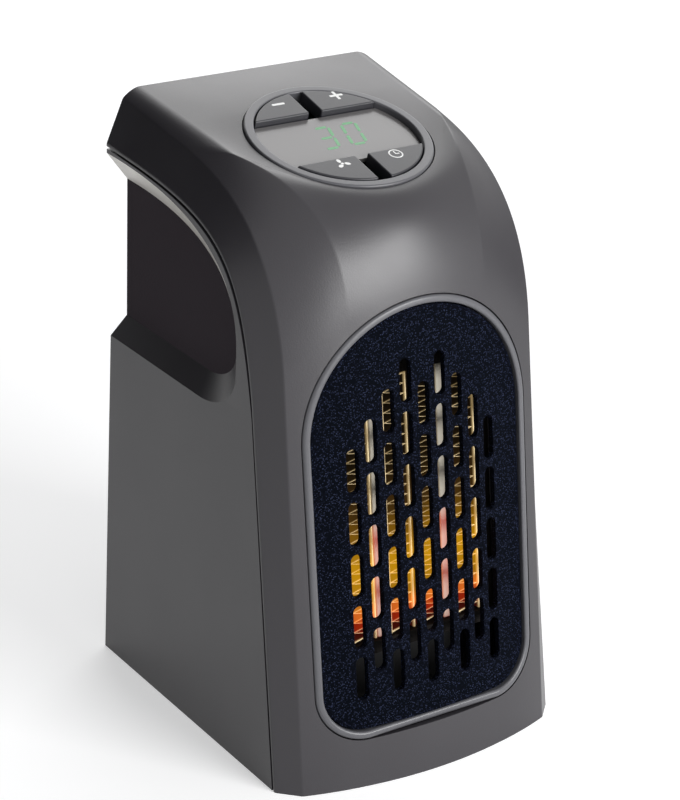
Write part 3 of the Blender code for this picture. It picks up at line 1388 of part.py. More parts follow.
def build_plug(materials):
    """Build the plug turret, its pins, the contact carrier and the slip rings."""
    inner = BODY_DEPTH - COVER_THICKNESS
    flange_back = inner - FIT
    flange_front = flange_back - TURRET_FLANGE_THICKNESS
    nose = flange_front - TURRET_INNER_LENGTH
    disc = BODY_DEPTH + TURRET_PROUD
    tip = BODY_DEPTH + PLUG_LENGTH
    centre = (0, BODY_DEPTH, PLUG_HEIGHT)
    profile = [
        (0, nose),
        (TURRET_INNER_RADIUS, nose),
        (TURRET_INNER_RADIUS, flange_front),
        (TURRET_FLANGE, flange_front),
        (TURRET_FLANGE, flange_back),
        (TURRET_RADIUS, flange_back),
        (TURRET_RADIUS, disc),
        (PLUG_RADIUS, disc),
        (PLUG_TIP_RADIUS, tip - PLUG_EDGE),
        (PLUG_TIP_RADIUS - PLUG_EDGE, tip),
        (0, tip),
    ]
    bm = bmesh.new()
    add_turned(bm, [(r, y - BODY_DEPTH) for r, y in profile], along_y, PLUG_STEPS)
    turret = make_object("plug_turret", bm, materials["black"], None, centre, 30)
    bm = bmesh.new()
    notch = PLUG_NOTCH_WIDTH / 2
    for side in (-1, 1):
        floor = side * (PLUG_RADIUS - PLUG_NOTCH_DEPTH)
        far = side * (PLUG_RADIUS + OVERRUN)
        low, high = min(floor, far), max(floor, far)
        add_box(bm, (-notch, TURRET_PROUD + FIT, low), (notch, PLUG_LENGTH + OVERRUN, high))
        x = side * PIN_SPACING / 2
        add_rod(bm, PIN_RADIUS + FIT, -OVERRUN, PLUG_LENGTH + OVERRUN, along_y, PIN_STEPS, (x, 0))
    combine(turret, helper("turret_cuts", bm, None, centre), "DIFFERENCE")

    foot_back = nose - FIT
    foot_front = foot_back - PIN_FOOT
    ring_back = foot_front - FIT
    ring_front = ring_back - SLIP_RING
    end = tip + PIN_LENGTH
    for name, side, track in (("left", -1, SLIP_OUTER_RADIUS), ("right", 1, SLIP_INNER_RADIUS)):
        x = side * PIN_SPACING / 2
        foot = (x, BODY_DEPTH, PLUG_HEIGHT)
        bm = bmesh.new()
        profile = [
            (0, foot_front),
            (PIN_RADIUS, foot_front),
            (PIN_RADIUS, end - PIN_TIP),
            (PIN_RADIUS - PIN_TIP, end),
            (0, end),
        ]
        add_turned(bm, [(r, y - BODY_DEPTH) for r, y in profile], along_y, PIN_STEPS)
        pin = make_object(f"plug_pin_{name}", bm, materials["brass"], None, foot, 40)
        bm = bmesh.new()
        to = side * track - x
        low, high = min(0, to), max(0, to)
        half = SLIP_RING_WIDTH / 2
        start, stop = foot_front - BODY_DEPTH, foot_back - BODY_DEPTH
        add_box(bm, (low - half, start, -half), (high + half, stop, half))
        combine(pin, helper(f"foot_{name}", bm, None, foot), "UNION")

    for name, track in (("inner", SLIP_INNER_RADIUS), ("outer", SLIP_OUTER_RADIUS)):
        low = track - SLIP_RING_WIDTH / 2
        high = track + SLIP_RING_WIDTH / 2
        bm = bmesh.new()
        profile = [(low, ring_front), (high, ring_front), (high, ring_back), (low, ring_back)]
        add_turned(bm, profile, along_y, PLUG_STEPS, (0, PLUG_HEIGHT))
        make_object(f"slip_ring_{name}", bm, materials["brass"], smooth=40)

    floor_back = ring_front - FIT
    floor_front = floor_back - CARRIER_FLOOR
    bore = TURRET_FLANGE + FIT
    shoulder = flange_front - FIT
    profile = [
        (0, floor_front),
        (bore + CARRIER_WALL, floor_front),
        (bore + CARRIER_WALL, flange_back),
        (bore, flange_back),
        (bore, shoulder),
        (TURRET_INNER_RADIUS + FIT + CARRIER_WALL, shoulder),
        (TURRET_INNER_RADIUS + FIT + CARRIER_WALL, floor_back),
        (0, floor_back),
    ]
    bm = bmesh.new()
    add_turned(bm, profile, along_y, PLUG_STEPS, (0, PLUG_HEIGHT))
    make_object("contact_carrier", bm, materials["black"], smooth=30)


def build_power_board(materials):
    """Build the power board with its relay, transformer and capacitor."""
    back = BODY_DEPTH - COVER_THICKNESS - POWER_BOARD_STANDOFF - FIT
    front = back - BOARD
    bm = bmesh.new()
    add_box(bm, (-POWER_BOARD_HALF, front, POWER_BOARD_BOTTOM), (POWER_BOARD_HALF, back, POWER_BOARD_TOP))
    make_object("power_board", bm, materials["board"])
    seat = front - PART_FEET
    middle = (POWER_BOARD_BOTTOM + POWER_BOARD_TOP) / 2
    parts = (
        ("relay", RELAY_SIZE, POWER_BOARD_HALF / 2, "black"),
        ("transformer", TRANSFORMER_SIZE, -POWER_BOARD_HALF / 2, "white"),
    )
    for name, (width, depth, height), x, colour in parts:
        bm = bmesh.new()
        low = (x - width / 2, seat - depth, middle - height / 2)
        high = (x + width / 2, seat, middle + height / 2)
        add_box(bm, low, high)
        make_object(name, bm, materials[colour])
    bm = bmesh.new()
    add_rod(bm, CAPACITOR_RADIUS, seat - CAPACITOR_LENGTH, seat, along_y, CAN_STEPS, (0, middle))
    make_object("capacitor", bm, materials["black"], smooth=40)


def build_rocker(materials):
    """Build the rocker switch: a case in the right side and the key that tips in it."""
    face = wall_x(ROCKER_Z - ROCKER_BEZEL_HEIGHT / 2) + FIT
    outer = face + ROCKER_BEZEL_THICKNESS
    centre = (0, ROCKER_Y, ROCKER_Z)
    half_y, half_z = ROCKER_BEZEL_WIDTH / 2, ROCKER_BEZEL_HEIGHT / 2
    bm = bmesh.new()
    add_box(bm, (face, -half_y, -half_z), (outer, half_y, half_z))
    case = make_object("rocker_case", bm, materials["black"], None, centre)
    bm = bmesh.new()
    body_y, body_z = ROCKER_CASE_WIDTH / 2, ROCKER_CASE_HEIGHT / 2
    add_box(bm, (face - ROCKER_CASE_DEPTH, -body_y, -body_z), (face + BITE, body_y, body_z))
    combine(case, helper("rocker_case_body", bm, None, centre), "UNION")
    bm = bmesh.new()
    well_y, well_z = body_y - ROCKER_RIM, body_z - ROCKER_RIM
    add_box(bm, (outer - ROCKER_WELL, -well_y, -well_z), (outer + OVERRUN, well_y, well_z))
    combine(case, helper("rocker_well", bm, None, centre), "DIFFERENCE")

    pivot = outer - ROCKER_PIVOT_DEPTH
    key_y, key_z = well_y - FIT, well_z - 2 * FIT
    rise = ROCKER_CROWN
    wing = math.tan(ROCKER_SWING) * key_z
    outline = [
        (-ROCKER_PIVOT_DEPTH, -key_z + FIT),
        (rise, -key_z),
        (rise - wing, 0),
        (rise, key_z),
        (-ROCKER_PIVOT_DEPTH, key_z - FIT),
        (-ROCKER_PIVOT_DEPTH - BITE, 0),
    ]
    bm = bmesh.new()
    add_prism(bm, outline, -key_y, key_y, along_y)
    key = make_object("rocker_key", bm, materials["black"], None, (pivot, ROCKER_Y, ROCKER_Z))
    key.rotation_euler = (0, ROCKER_SWING, 0)


def centre_on_base():
    """Move everything back, so that the origin is the middle of the base."""
    for item in bpy.data.objects:
        if item.parent is None:
            item.location.y -= BODY_DEPTH / 2


def main():
    """Build the whole heater."""
    clear_scene()
    materials = make_materials()
    front = make_empty("front_plane", (0, -FRONT_BOW, 0), -FRONT_LEAN)
    panel = make_empty("panel_plane", (0, PANEL_Y, PANEL_Z), PANEL_TILT)
    build_front_shell(materials, front, panel)
    build_rear_housing(materials)
    build_back_cover(materials)
    build_bezel_ring(materials, front)
    build_front_grille(materials, front)
    build_element(materials, front)
    build_fan_duct(materials, front)
    build_fan(materials, front)
    build_control_panel(materials, panel)
    build_plug(materials)
    build_power_board(materials)
    build_rocker(materials)
    build_screws(materials, front)
    centre_on_base()
    bpy.context.view_layer.update()


main()
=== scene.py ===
"""The look of a plug-in fan heater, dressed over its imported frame.

The shaped pieces are modelled again with finer curves, soft edges and marks, and every other
CAD piece gets its finish. Sizes are the part's own, in metres. A piece is first built with
Y = 0 on the front corners of the base, then moved back by half the body's depth.
"""

from __future__ import annotations

import json
import logging
import math
from dataclasses import dataclass, field
from enum import Enum
from typing import Callable, Sequence

import bmesh
import bpy
from mathutils import Matrix, Vector

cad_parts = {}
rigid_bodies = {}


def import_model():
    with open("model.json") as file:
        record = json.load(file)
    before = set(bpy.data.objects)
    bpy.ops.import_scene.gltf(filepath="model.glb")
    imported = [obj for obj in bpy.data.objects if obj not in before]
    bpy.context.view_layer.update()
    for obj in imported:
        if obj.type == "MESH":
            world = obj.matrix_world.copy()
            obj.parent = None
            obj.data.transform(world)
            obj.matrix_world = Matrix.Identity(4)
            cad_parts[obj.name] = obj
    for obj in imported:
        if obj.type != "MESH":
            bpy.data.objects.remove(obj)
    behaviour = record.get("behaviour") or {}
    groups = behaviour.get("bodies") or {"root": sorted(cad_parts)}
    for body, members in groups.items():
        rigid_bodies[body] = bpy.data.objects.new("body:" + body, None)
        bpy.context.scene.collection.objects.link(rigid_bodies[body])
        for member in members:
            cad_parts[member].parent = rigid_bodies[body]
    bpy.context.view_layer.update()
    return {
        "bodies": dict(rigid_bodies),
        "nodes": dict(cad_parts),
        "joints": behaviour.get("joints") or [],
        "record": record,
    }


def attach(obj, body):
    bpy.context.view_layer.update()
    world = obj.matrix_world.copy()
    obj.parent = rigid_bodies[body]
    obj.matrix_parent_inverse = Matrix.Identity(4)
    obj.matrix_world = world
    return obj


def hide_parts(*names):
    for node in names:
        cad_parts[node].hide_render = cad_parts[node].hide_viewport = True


MM = 0.001
FIT = 0.3 * MM
WALL = 2.2 * MM
OVERRUN = 12.0 * MM
MERGE = 0.001 * MM

Point = tuple[float, float, float]
Flat = tuple[float, float]
Seen = tuple[int, int, int]
Colour = tuple[float, float, float, float]
Feeds = dict[str | int, object]
Piece = bpy.types.Object
Face = bpy.types.MeshPolygon
Edge = bmesh.types.BMEdge
Node = bpy.types.Node
Socket = bpy.types.NodeSocket

log = logging.getLogger("heater")


class Body(Enum):
    """The rigid bodies that pieces ride on."""

    HEATER = "heater"
    PLUG = "plug"
    ROCKER = "rocker"
    MINUS = "minus_button"
    PLUS = "plus_button"
    SPEED = "speed_button"
    TIMER = "timer_button"


class Blend(Enum):
    """How one solid works on another."""

    CUT = "DIFFERENCE"
    JOIN = "UNION"
    KEEP = "INTERSECT"


def linear(red: int, green: int, blue: int) -> Colour:
    """Turn a colour as seen on a screen into the linear one that a shader takes.

    Args:
        red: how much red is seen, 0 to 255.
        green: the same for green.
        blue: the same for blue.

    Returns:
        The linear colour with full alpha.
    """
    seen = [value / 255 for value in (red, green, blue)]
    flat = [v / 12.92 if v <= 0.04045 else ((v + 0.055) / 1.055) ** 2.4 for v in seen]
    return (flat[0], flat[1], flat[2], 1.0)


def arc(centre: Flat, radius_u: float, radius_v: float, start: float, end: float,
        steps: int) -> list[Flat]:
    """Trace an elliptic arc between two angles, both ends included.

    Args:
        centre: its middle.
        radius_u: its reach sideways.
        radius_v: its reach upwards.
        start: the first angle, in degrees.
        end: the last angle, in degrees.
        steps: how many parts it has.

    Returns:
        The points.
    """
    points = []
    for k in range(steps + 1):
        angle = math.radians(start + (end - start) * k / steps)
        points.append((centre[0] + radius_u * math.cos(angle), centre[1] + radius_v * math.sin(angle)))
    return points


def circle(centre: Flat, radius: float, count: int = 24) -> list[Flat]:
    """Return points spread evenly round a circle."""
    return arc(centre, radius, radius, 0, 360 - 360 / count, count - 1)


def inset(outline: Sequence[Flat], distance: float) -> list[Flat]:
    """Move a closed outline inwards, with mitred corners.

    Args:
        outline: its points.
        distance: how far.

    Returns:
        The moved points.
    """
    ahead = list(outline[1:]) + list(outline[:1])
    behind = list(outline[-1:]) + list(outline[:-1])
    area = sum(a[0] * b[1] - b[0] * a[1] for a, b in zip(outline, ahead))
    side = math.copysign(distance, area)
    moved = []
    for before, here, after in zip(behind, outline, ahead):
        first = Vector((here[0] - before[0], here[1] - before[1])).normalized()
        second = Vector((after[0] - here[0], after[1] - here[1])).normalized()
        normal = Vector((-first.y, first.x))
        middle = (normal + Vector((-second.y, second.x))).normalized()
        shift = middle * (side / middle.dot(normal))
        moved.append((here[0] + shift.x, here[1] + shift.y))
    return moved


def shrink(outline: Sequence[Flat], distance: float) -> list[Flat]:
    """Move a closed outline inwards, and drop the edges that this leaves no length.

    Args:
        outline: its points.
        distance: how far.

    Returns:
        The moved points, which may be fewer.
    """
    kept = list(outline)
    moved = inset(kept, distance)
    k = 0
    while k < len(kept):
        ahead = (k + 1) % len(kept)
        edge = Vector(kept[ahead]) - Vector(kept[k])
        if edge.dot(Vector(moved[ahead]) - Vector(moved[k])) > 0:
            k += 1
            continue
        before, beyond = kept[k - 1], kept[(k + 2) % len(kept)]
        kept[k] = BodyForm.meet((0, *before), (0, *kept[k]), (0, *kept[ahead]), (0, *beyond))
        del kept[ahead]
        moved = inset(kept, distance)
        k = 0
    return moved


def rounded_box(half_u: float, half_v: float, corner: float, steps: int = 8) -> list[Flat]:
    """Trace a rectangle with round corners about (0, 0).

    Args:
        half_u: half its width.
        half_v: half its height.
        corner: the corners' radius.
        steps: parts per corner.

    Returns:
        The outline.
    """
    u, v = half_u - corner, half_v - corner
    points = []
    for turn, centre in zip((-90, 0, 90, 180), ((u, -v), (u, v), (-u, v), (-u, -v))):
        points += arc(centre, corner, corner, turn, turn + 90, steps)
    return points


def pill(u: float, v: float, half_u: float, half_v: float, steps: int = 8) -> list[Flat]:
    """Trace a slot with round ends, along its longer side.

    Args:
        u: the middle's first coordinate.
        v: its second.
        half_u: half its width.
        half_v: half its height.
        steps: parts per quarter turn.

    Returns:
        The outline.
    """
    radius = min(half_u, half_v)
    if half_v >= half_u:
        points = arc((u, v + half_v - radius), radius, radius, 0, 180, steps)
        return points + arc((u, v - half_v + radius), radius, radius, 180, 360, steps)
    points = arc((u + half_u - radius, v), radius, radius, -90, 90, steps)
    return points + arc((u - half_u + radius, v), radius, radius, 90, 270, steps)


def flat_on_x(outline: Sequence[Flat], depth: float) -> list[Point]:
    """Place an outline in the YZ plane at a depth along X."""
    return [(depth, u, v) for u, v in outline]


def flat_on_y(outline: Sequence[Flat], depth: float) -> list[Point]:
    """Place an outline in the XZ plane at a depth along Y."""
    return [(u, depth, v) for u, v in outline]


def flat_on_z(outline: Sequence[Flat], depth: float) -> list[Point]:
    """Place an outline in the XY plane at a depth along Z."""
    return [(u, v, depth) for u, v in outline]


class Bench:
    """Blender's modelling operators, made ready for a script without a window."""

    @staticmethod
    def rest() -> None:
        """Leave edit mode and deselect everything."""
        if bpy.context.object is not None and bpy.context.object.mode != "OBJECT":
            bpy.ops.object.mode_set(mode="OBJECT")
        bpy.ops.object.select_all(action="DESELECT")

    @staticmethod
    def pick(piece: Piece) -> None:
        """Select one piece alone and make it the active one."""
        Bench.rest()
        piece.select_set(True)
        bpy.context.view_layer.objects.active = piece

    @staticmethod
    def edit(piece: Piece, mode: str = "VERT", select: str = "DESELECT") -> bmesh.types.BMesh:
        """Enter edit mode with nothing or all of the piece selected.

        Args:
            piece: the piece to shape.
            mode: VERT or EDGE, what is selected in code.
            select: DESELECT for nothing, SELECT for all of it.

        Returns:
            The piece's mesh, ready for selecting in code.
        """
        Bench.pick(piece)
        bpy.ops.object.mode_set(mode="EDIT")
        bpy.ops.mesh.select_mode(type=mode)
        bpy.ops.mesh.select_all(action=select)
        return bmesh.from_edit_mesh(piece.data)

    @staticmethod
    def close(piece: Piece) -> Piece:
        """Merge doubled points, turn the faces outwards and leave edit mode.

        Args:
            piece: the piece to close.

        Returns:
            The same piece.
        """
        Bench.edit(piece, select="SELECT")
        bpy.ops.mesh.remove_doubles(threshold=MERGE)
        bpy.ops.mesh.normals_make_consistent(inside=False)
        Bench.rest()
        return piece

    @staticmethod
    def loft(name: str, rings: Sequence[Sequence[Point]], ring_shaped: bool = False) -> Piece:
        """Extrude a ring of points from row to row.

        Args:
            name: the new piece's name.
            rings: rows with the same number of points each.
            ring_shaped: join the last row to the first; otherwise both ends are filled.

        Returns:
            The closed piece.
        """
        Bench.rest()
        bpy.ops.mesh.primitive_circle_add(vertices=len(rings[0]), radius=1.0, fill_type="NOTHING")
        piece = bpy.context.object
        piece.name = name
        mesh = Bench.edit(piece)
        place = mesh.verts.layers.int.new("place")
        row = mesh.verts.layers.int.new("row")
        for number, vertex in enumerate(mesh.verts):
            vertex[place] = number
            vertex[row] = 0
            vertex.co = rings[0][number]
        for number, ring in enumerate(rings[1:], 1):
            mesh = bmesh.from_edit_mesh(piece.data)
            row = mesh.verts.layers.int["row"]
            for vertex in mesh.verts:
                vertex.select = vertex[row] == number - 1
            mesh.select_flush(True)
            bpy.ops.mesh.extrude_region_move(TRANSFORM_OT_translate={"value": (0, 0, 0)})
            mesh = bmesh.from_edit_mesh(piece.data)
            row = mesh.verts.layers.int["row"]
            place = mesh.verts.layers.int["place"]
            for vertex in mesh.verts:
                if vertex.select:
                    vertex[row] = number
                    vertex.co = ring[vertex[place]]
        last = len(rings) - 1
        for ends in (((0, last),) if ring_shaped else ((0,), (last,))):
            mesh = bmesh.from_edit_mesh(piece.data)
            row = mesh.verts.layers.int["row"]
            for vertex in mesh.verts:
                vertex.select = vertex[row] in ends
            mesh.select_flush(True)
            if ring_shaped:
                bpy.ops.mesh.bridge_edge_loops()
            else:
                bpy.ops.mesh.edge_face_add()
        return Bench.close(piece)

    @staticmethod
    def prism(name: str, outline: Sequence[Flat], start: float, end: float,
              lay: Callable[[Sequence[Flat], float], list[Point]] = flat_on_z) -> Piece:
        """Extrude a flat outline between two depths."""
        return Bench.loft(name, [lay(outline, start), lay(outline, end)])

    @staticmethod
    def turn(name: str, section: Sequence[Flat], steps: int = 96) -> Piece:
        """Spin a closed section of (radius, height) points about Z.

        Args:
            name: the new piece's name.
            section: the section's corners, in order.
            steps: how many faces go round.

        Returns:
            The closed piece.
        """
        Bench.rest()
        bpy.ops.mesh.primitive_circle_add(vertices=len(section), radius=1.0, fill_type="NOTHING")
        piece = bpy.context.object
        piece.name = name
        mesh = Bench.edit(piece, select="SELECT")
        for vertex, (radius, height) in zip(mesh.verts, section):
            vertex.co = (radius, 0.0, height)
        bpy.ops.mesh.spin(steps=steps, angle=math.tau, center=(0, 0, 0), axis=(0, 0, 1))
        return Bench.close(piece)

    @staticmethod
    def block(name: str, low: Point, high: Point) -> Piece:
        """Make a box, the start of a cut or of a shaped piece.

        Args:
            name: its name.
            low: its lowest corner.
            high: its highest corner.

        Returns:
            The box.
        """
        middle = [(a + b) / 2 for a, b in zip(low, high)]
        Bench.rest()
        bpy.ops.mesh.primitive_cube_add(size=1.0, location=middle)
        piece = bpy.context.object
        piece.name = name
        piece.scale = [b - a for a, b in zip(low, high)]
        return Bench.settle(piece)

    @staticmethod
    def settle(piece: Piece, matrix: Matrix | None = None) -> Piece:
        """Move a piece and put its place into its mesh.

        Args:
            piece: the piece to move.
            matrix: the move, if there is one.

        Returns:
            The same piece.
        """
        Bench.pick(piece)
        if matrix is not None:
            piece.matrix_world = matrix @ piece.matrix_world
        bpy.ops.object.transform_apply(location=True, rotation=True, scale=True)
        return piece

    @staticmethod
    def modify(piece: Piece, kind: str, **settings: object) -> Piece:
        """Add a modifier and apply it.

        Args:
            piece: the piece to change.
            kind: the modifier's type.
            settings: the modifier's own settings.

        Returns:
            The same piece.
        """
        Bench.pick(piece)
        modifier = piece.modifiers.new(kind.lower(), kind)
        for name, value in settings.items():
            setattr(modifier, name, value)
        bpy.ops.object.modifier_apply(modifier=modifier.name)
        return piece

    @staticmethod
    def blend(piece: Piece, tool: Piece, how: Blend) -> Piece:
        """Cut, join or intersect a piece with a tool, and remove the tool."""
        Bench.modify(piece, "BOOLEAN", operation=how.value, solver="EXACT", object=tool)
        bpy.data.objects.remove(tool, do_unlink=True)
        return piece

    @staticmethod
    def soften(piece: Piece, width: float, segments: int = 2, angle: float = 40.0) -> Piece:
        """Round the sharp edges.

        Args:
            piece: the piece to soften.
            width: the rounding's width.
            segments: how many faces it has.
            angle: the least angle between two faces, in degrees.

        Returns:
            The same piece.
        """
        return Bench.modify(
            piece, "BEVEL", width=width, segments=segments,
            limit_method="ANGLE", angle_limit=math.radians(angle), use_clamp_overlap=True,
        )

    @staticmethod
    def reshape(piece: Piece, move: Callable[[Vector], Sequence[float]]) -> Piece:
        """Put each corner where a function of its place says.

        Args:
            piece: the piece to shape.
            move: gives a corner's new place.

        Returns:
            The same piece.
        """
        mesh = Bench.edit(piece)
        for vertex in mesh.verts:
            vertex.co = move(vertex.co)
        bmesh.update_edit_mesh(piece.data)
        Bench.rest()
        return piece

    @staticmethod
    def bevel_edges(piece: Piece, wanted: Callable[[Edge], bool],
                    width: float, segments: int) -> Piece:
        """Round the edges for which a test holds.

        Args:
            piece: the piece to shape.
            wanted: the test on an edge.
            width: how wide the rounding is.
            segments: how many faces it has.

        Returns:
            The same piece.
        """
        mesh = Bench.edit(piece, "EDGE")
        for edge in mesh.edges:
            edge.select = wanted(edge)
        mesh.select_flush(False)
        bmesh.update_edit_mesh(piece.data)
        bpy.ops.mesh.bevel(offset=width, segments=segments, affect="EDGES", clamp_overlap=True)
        Bench.rest()
        return piece

    @staticmethod
    def slice(piece: Piece, point: Point, normal: Point, clear: bool) -> Piece:
        """Cut along a plane.

        Args:
            piece: the piece to cut.
            point: a point on the plane.
            normal: the plane's direction.
            clear: whether what is beyond it goes and the cut is filled.

        Returns:
            The same piece.
        """
        Bench.edit(piece, select="SELECT")
        bpy.ops.mesh.bisect(plane_co=point, plane_no=normal, use_fill=clear, clear_outer=clear)
        Bench.rest()
        return piece

    @staticmethod
    def gather(name: str, pieces: Sequence[Piece]) -> Piece:
        """Join several pieces into one.

        Args:
            name: the name of the whole.
            pieces: the pieces.

        Returns:
            The joined piece.
        """
        Bench.rest()
        for piece in pieces:
            piece.select_set(True)
        bpy.context.view_layer.objects.active = pieces[0]
        bpy.ops.object.join()
        pieces[0].name = name
        return pieces[0]

    @staticmethod
    def smooth(piece: Piece, angle: float = 30.0) -> Piece:
        """Shade smooth, with sharper edges kept and flat faces kept flat beside soft edges.

        Args:
            piece: the finished piece.
            angle: edges sharper than this, in degrees, stay sharp.

        Returns:
            The same piece.
        """
        Bench.pick(piece)
        bpy.ops.object.shade_smooth_by_angle(angle=math.radians(angle))
        return Bench.modify(piece, "WEIGHTED_NORMAL", mode="FACE_AREA", weight=80, keep_sharp=True)

    @staticmethod
    def seat(piece: Piece, place: Matrix, angle: float = 30.0, edges: tuple[float, ...] = ()) -> Piece:
        """Bring a finished piece into the record's frame and shade it smooth.

        Args:
            piece: the piece, built in a frame of its own.
            place: that frame.
            angle: edges sharper than this, in degrees, stay sharp.
            edges: how its sharp edges are rounded, if they are: what soften takes after the piece.

        Returns:
            The same piece.
        """
        Bench.settle(piece, place)
        if edges:
            Bench.soften(piece, *edges)
        return Bench.smooth(piece, angle)


@dataclass
class BodyForm:
    """The lines that shape the body, the same as in the part's own source."""

    depth: float = 96.0 * MM
    height: float = 166.1 * MM
    base_half: float = 45.0 * MM
    waist_half: float = 43.2 * MM
    waist_height: float = 100.0 * MM
    wing_half: float = 44.5 * MM
    bow: float = 6.4 * MM
    lean: float = math.radians(8.4)
    panel_tilt: float = math.radians(13.5)
    panel_y: float = 52.4 * MM
    panel_z: float = 159.6 * MM
    crown_fall: float = math.radians(1.7)
    flat_back: float = 16.0 * MM
    flat_front: float = 25.4 * MM
    brow_height: float = 125.0 * MM
    brow_fullness_share: float = 0.65
    crown_fullness_share: float = 0.6
    crease_back: float = 34.8 * MM
    crease_knee: Point = (32.7 * MM, 52.0 * MM, 160.4 * MM)
    crease_front: float = 21.3 * MM
    crease_fade: float = 2.2
    band_bulge: float = 0.5 * MM
    facet_back: Point = (39.6 * MM, 96.0 * MM, 163.6 * MM)
    facet_knee: Point = (38.6 * MM, 64.3 * MM, 158.8 * MM)
    facet_low: float = 112.0 * MM
    facet_base: float = 39.7 * MM
    fullness_share: float = 0.69
    seam_back_z: float = 150.8 * MM
    seam_knee_y: float = 88.0 * MM
    seam_knee_drop: float = 0.4 * MM
    seam_front: Point = (43.3 * MM, 23.9 * MM, 103.5 * MM)
    seam_base_y: float = 6.2 * MM
    seam_fullness_share: float = 0.85
    lip: float = 1.0 * MM
    crown_steps: int = 8
    panel_steps: int = 6
    knee_steps: int = 40
    front_steps: int = 12
    main_columns: int = 12
    band_columns: int = 6
    facet_columns: int = 3

    def place(self) -> Matrix:
        """Return the move from the building frame to the record's frame."""
        return Matrix.Translation((0, -self.depth / 2, 0))

    def front_plane(self) -> Matrix:
        """Return the leaning front's frame: X across, Z up along the face, Y inwards."""
        tilt = Matrix.Rotation(-self.lean, 4, "X")
        return self.place() @ Matrix.Translation((0, -self.bow, 0)) @ tilt

    def panel_plane(self) -> Matrix:
        """Return the control panel's frame: X across, Y backwards, Z out of the panel."""
        tilt = Matrix.Rotation(self.panel_tilt, 4, "X")
        return self.place() @ Matrix.Translation((0, self.panel_y, self.panel_z)) @ tilt

    def fall(self, x: float) -> float:
        """Return how far the front face falls back at a distance from its middle."""
        return self.bow * (x / self.facet_base) ** 2 * math.cos(self.lean)

    def front_y(self, height: float, half: float = 0.0) -> float:
        """Return the y of the front at a height and a distance from the middle."""
        return -self.bow + height * math.tan(self.lean) + self.bow * (half / self.facet_base) ** 2

    @staticmethod
    def meet(a: Point, b: Point, c: Point, d: Point) -> Flat:
        """Find where the side views of two lines meet.

        Args:
            a: the first line's start.
            b: its end.
            c: the second line's start.
            d: its end.

        Returns:
            The (y, z) point.
        """
        first = (b[1] - a[1], b[2] - a[2])
        second = (d[1] - c[1], d[2] - c[2])
        cross = first[0] * second[1] - first[1] * second[0]
        part = ((c[1] - a[1]) * second[1] - (c[2] - a[2]) * second[0]) / cross
        return (a[1] + first[0] * part, a[2] + first[1] * part)

    @staticmethod
    def straight(a: Point, b: Point, steps: int) -> list[Point]:
        """Return points from a towards b, with b left out."""
        return [tuple(p + (q - p) * k / steps for p, q in zip(a, b)) for k in range(steps)]

    @staticmethod
    def knee(a: Point, corner: Flat, b: Point, fullness: float, steps: int,
             fade: float = 1.0) -> list[Point]:
        """Return points on a rounded corner from a to b, with b left out.

        Args:
            a: where the curve starts.
            b: where it ends.
            corner: the (y, z) point where the two straight runs would meet.
            fullness: how far the curve's handles reach towards the corner.
            steps: how many points.
            fade: above 1, the half-width leaves its first value sooner.

        Returns:
            The points.
        """
        points = []
        for k in range(steps):
            t = k / steps
            weights = ((1 - t) ** 3, 3 * t * (1 - t) ** 2, 3 * t * t * (1 - t), t ** 3)
            point = [b[0] + (a[0] - b[0]) * (1 - t) ** fade]
            for axis in (1, 2):
                tip = corner[axis - 1]
                first = a[axis] + (tip - a[axis]) * fullness
                second = b[axis] + (tip - b[axis]) * fullness
                values = (a[axis], first, second, b[axis])
                point.append(sum(w * value for w, value in zip(weights, values)))
            points.append(tuple(point))
        return points

    def line(self, start: Point, knee_in: Point, knee_out: Point, end: Point,
             fullness: float, fade: float = 1.0) -> list[Point]:
        """Trace a body line that runs forward, turns down and ends at the base.

        Args:
            start: its end on the back plane.
            knee_in: where the turn starts.
            knee_out: where the turn ends.
            end: its end on the base.
            fullness: how full the turn is.
            fade: above 1, the half-width leaves its first value sooner.

        Returns:
            The points.
        """
        corner = self.meet(start, knee_in, knee_out, end)
        points = self.straight(start, knee_in, self.crown_steps + self.panel_steps)
        points += self.knee(knee_in, corner, knee_out, fullness, self.knee_steps, fade)
        return points + self.straight(knee_out, end, self.front_steps) + [end]

    def centre_line(self) -> list[Point]:
        """Trace the middle line, with the flat that carries the control panel.

        Returns:
            The points.
        """
        slope = math.tan(self.panel_tilt)
        start = (0.0, self.depth, self.height)
        toward = (0.0, 0.0, self.height - self.depth * math.tan(self.crown_fall))
        flat_in = (0.0, self.panel_y + self.flat_back, self.panel_z + self.flat_back * slope)
        knee_in = (0.0, self.panel_y - self.flat_front, self.panel_z - self.flat_front * slope)
        knee_out = (0.0, self.front_y(self.brow_height), self.brow_height)
        end = (0.0, self.front_y(0), 0.0)
        crown = self.meet(start, toward, flat_in, knee_in)
        brow = self.meet(flat_in, knee_in, knee_out, end)
        points = self.knee(start, crown, flat_in, self.crown_fullness_share, self.crown_steps)
        points += self.straight(flat_in, knee_in, self.panel_steps)
        points += self.knee(knee_in, brow, knee_out, self.brow_fullness_share, self.knee_steps)
        return points + self.straight(knee_out, end, self.front_steps) + [end]

    def crease_line(self) -> list[Point]:
        """Trace the crease between the main face and the band beside it.

        Returns:
            The points.
        """
        start = (self.crease_back, self.depth, self.height)
        front_y = self.front_y(self.brow_height, self.crease_front)
        knee_out = (self.crease_front, front_y, self.brow_height)
        end = (self.crease_front, self.front_y(0, self.crease_front), 0.0)
        return self.line(start, self.crease_knee, knee_out, end, self.fullness_share, self.crease_fade)

    def facet_line(self) -> list[Point]:
        """Return the outer crease, where the corner facet starts."""
        knee_out = (self.facet_knee[0], self.facet_low * math.tan(self.lean), self.facet_low)
        end = (self.facet_base, 0.0, 0.0)
        return self.line(self.facet_back, self.facet_knee, knee_out, end, self.fullness_share)

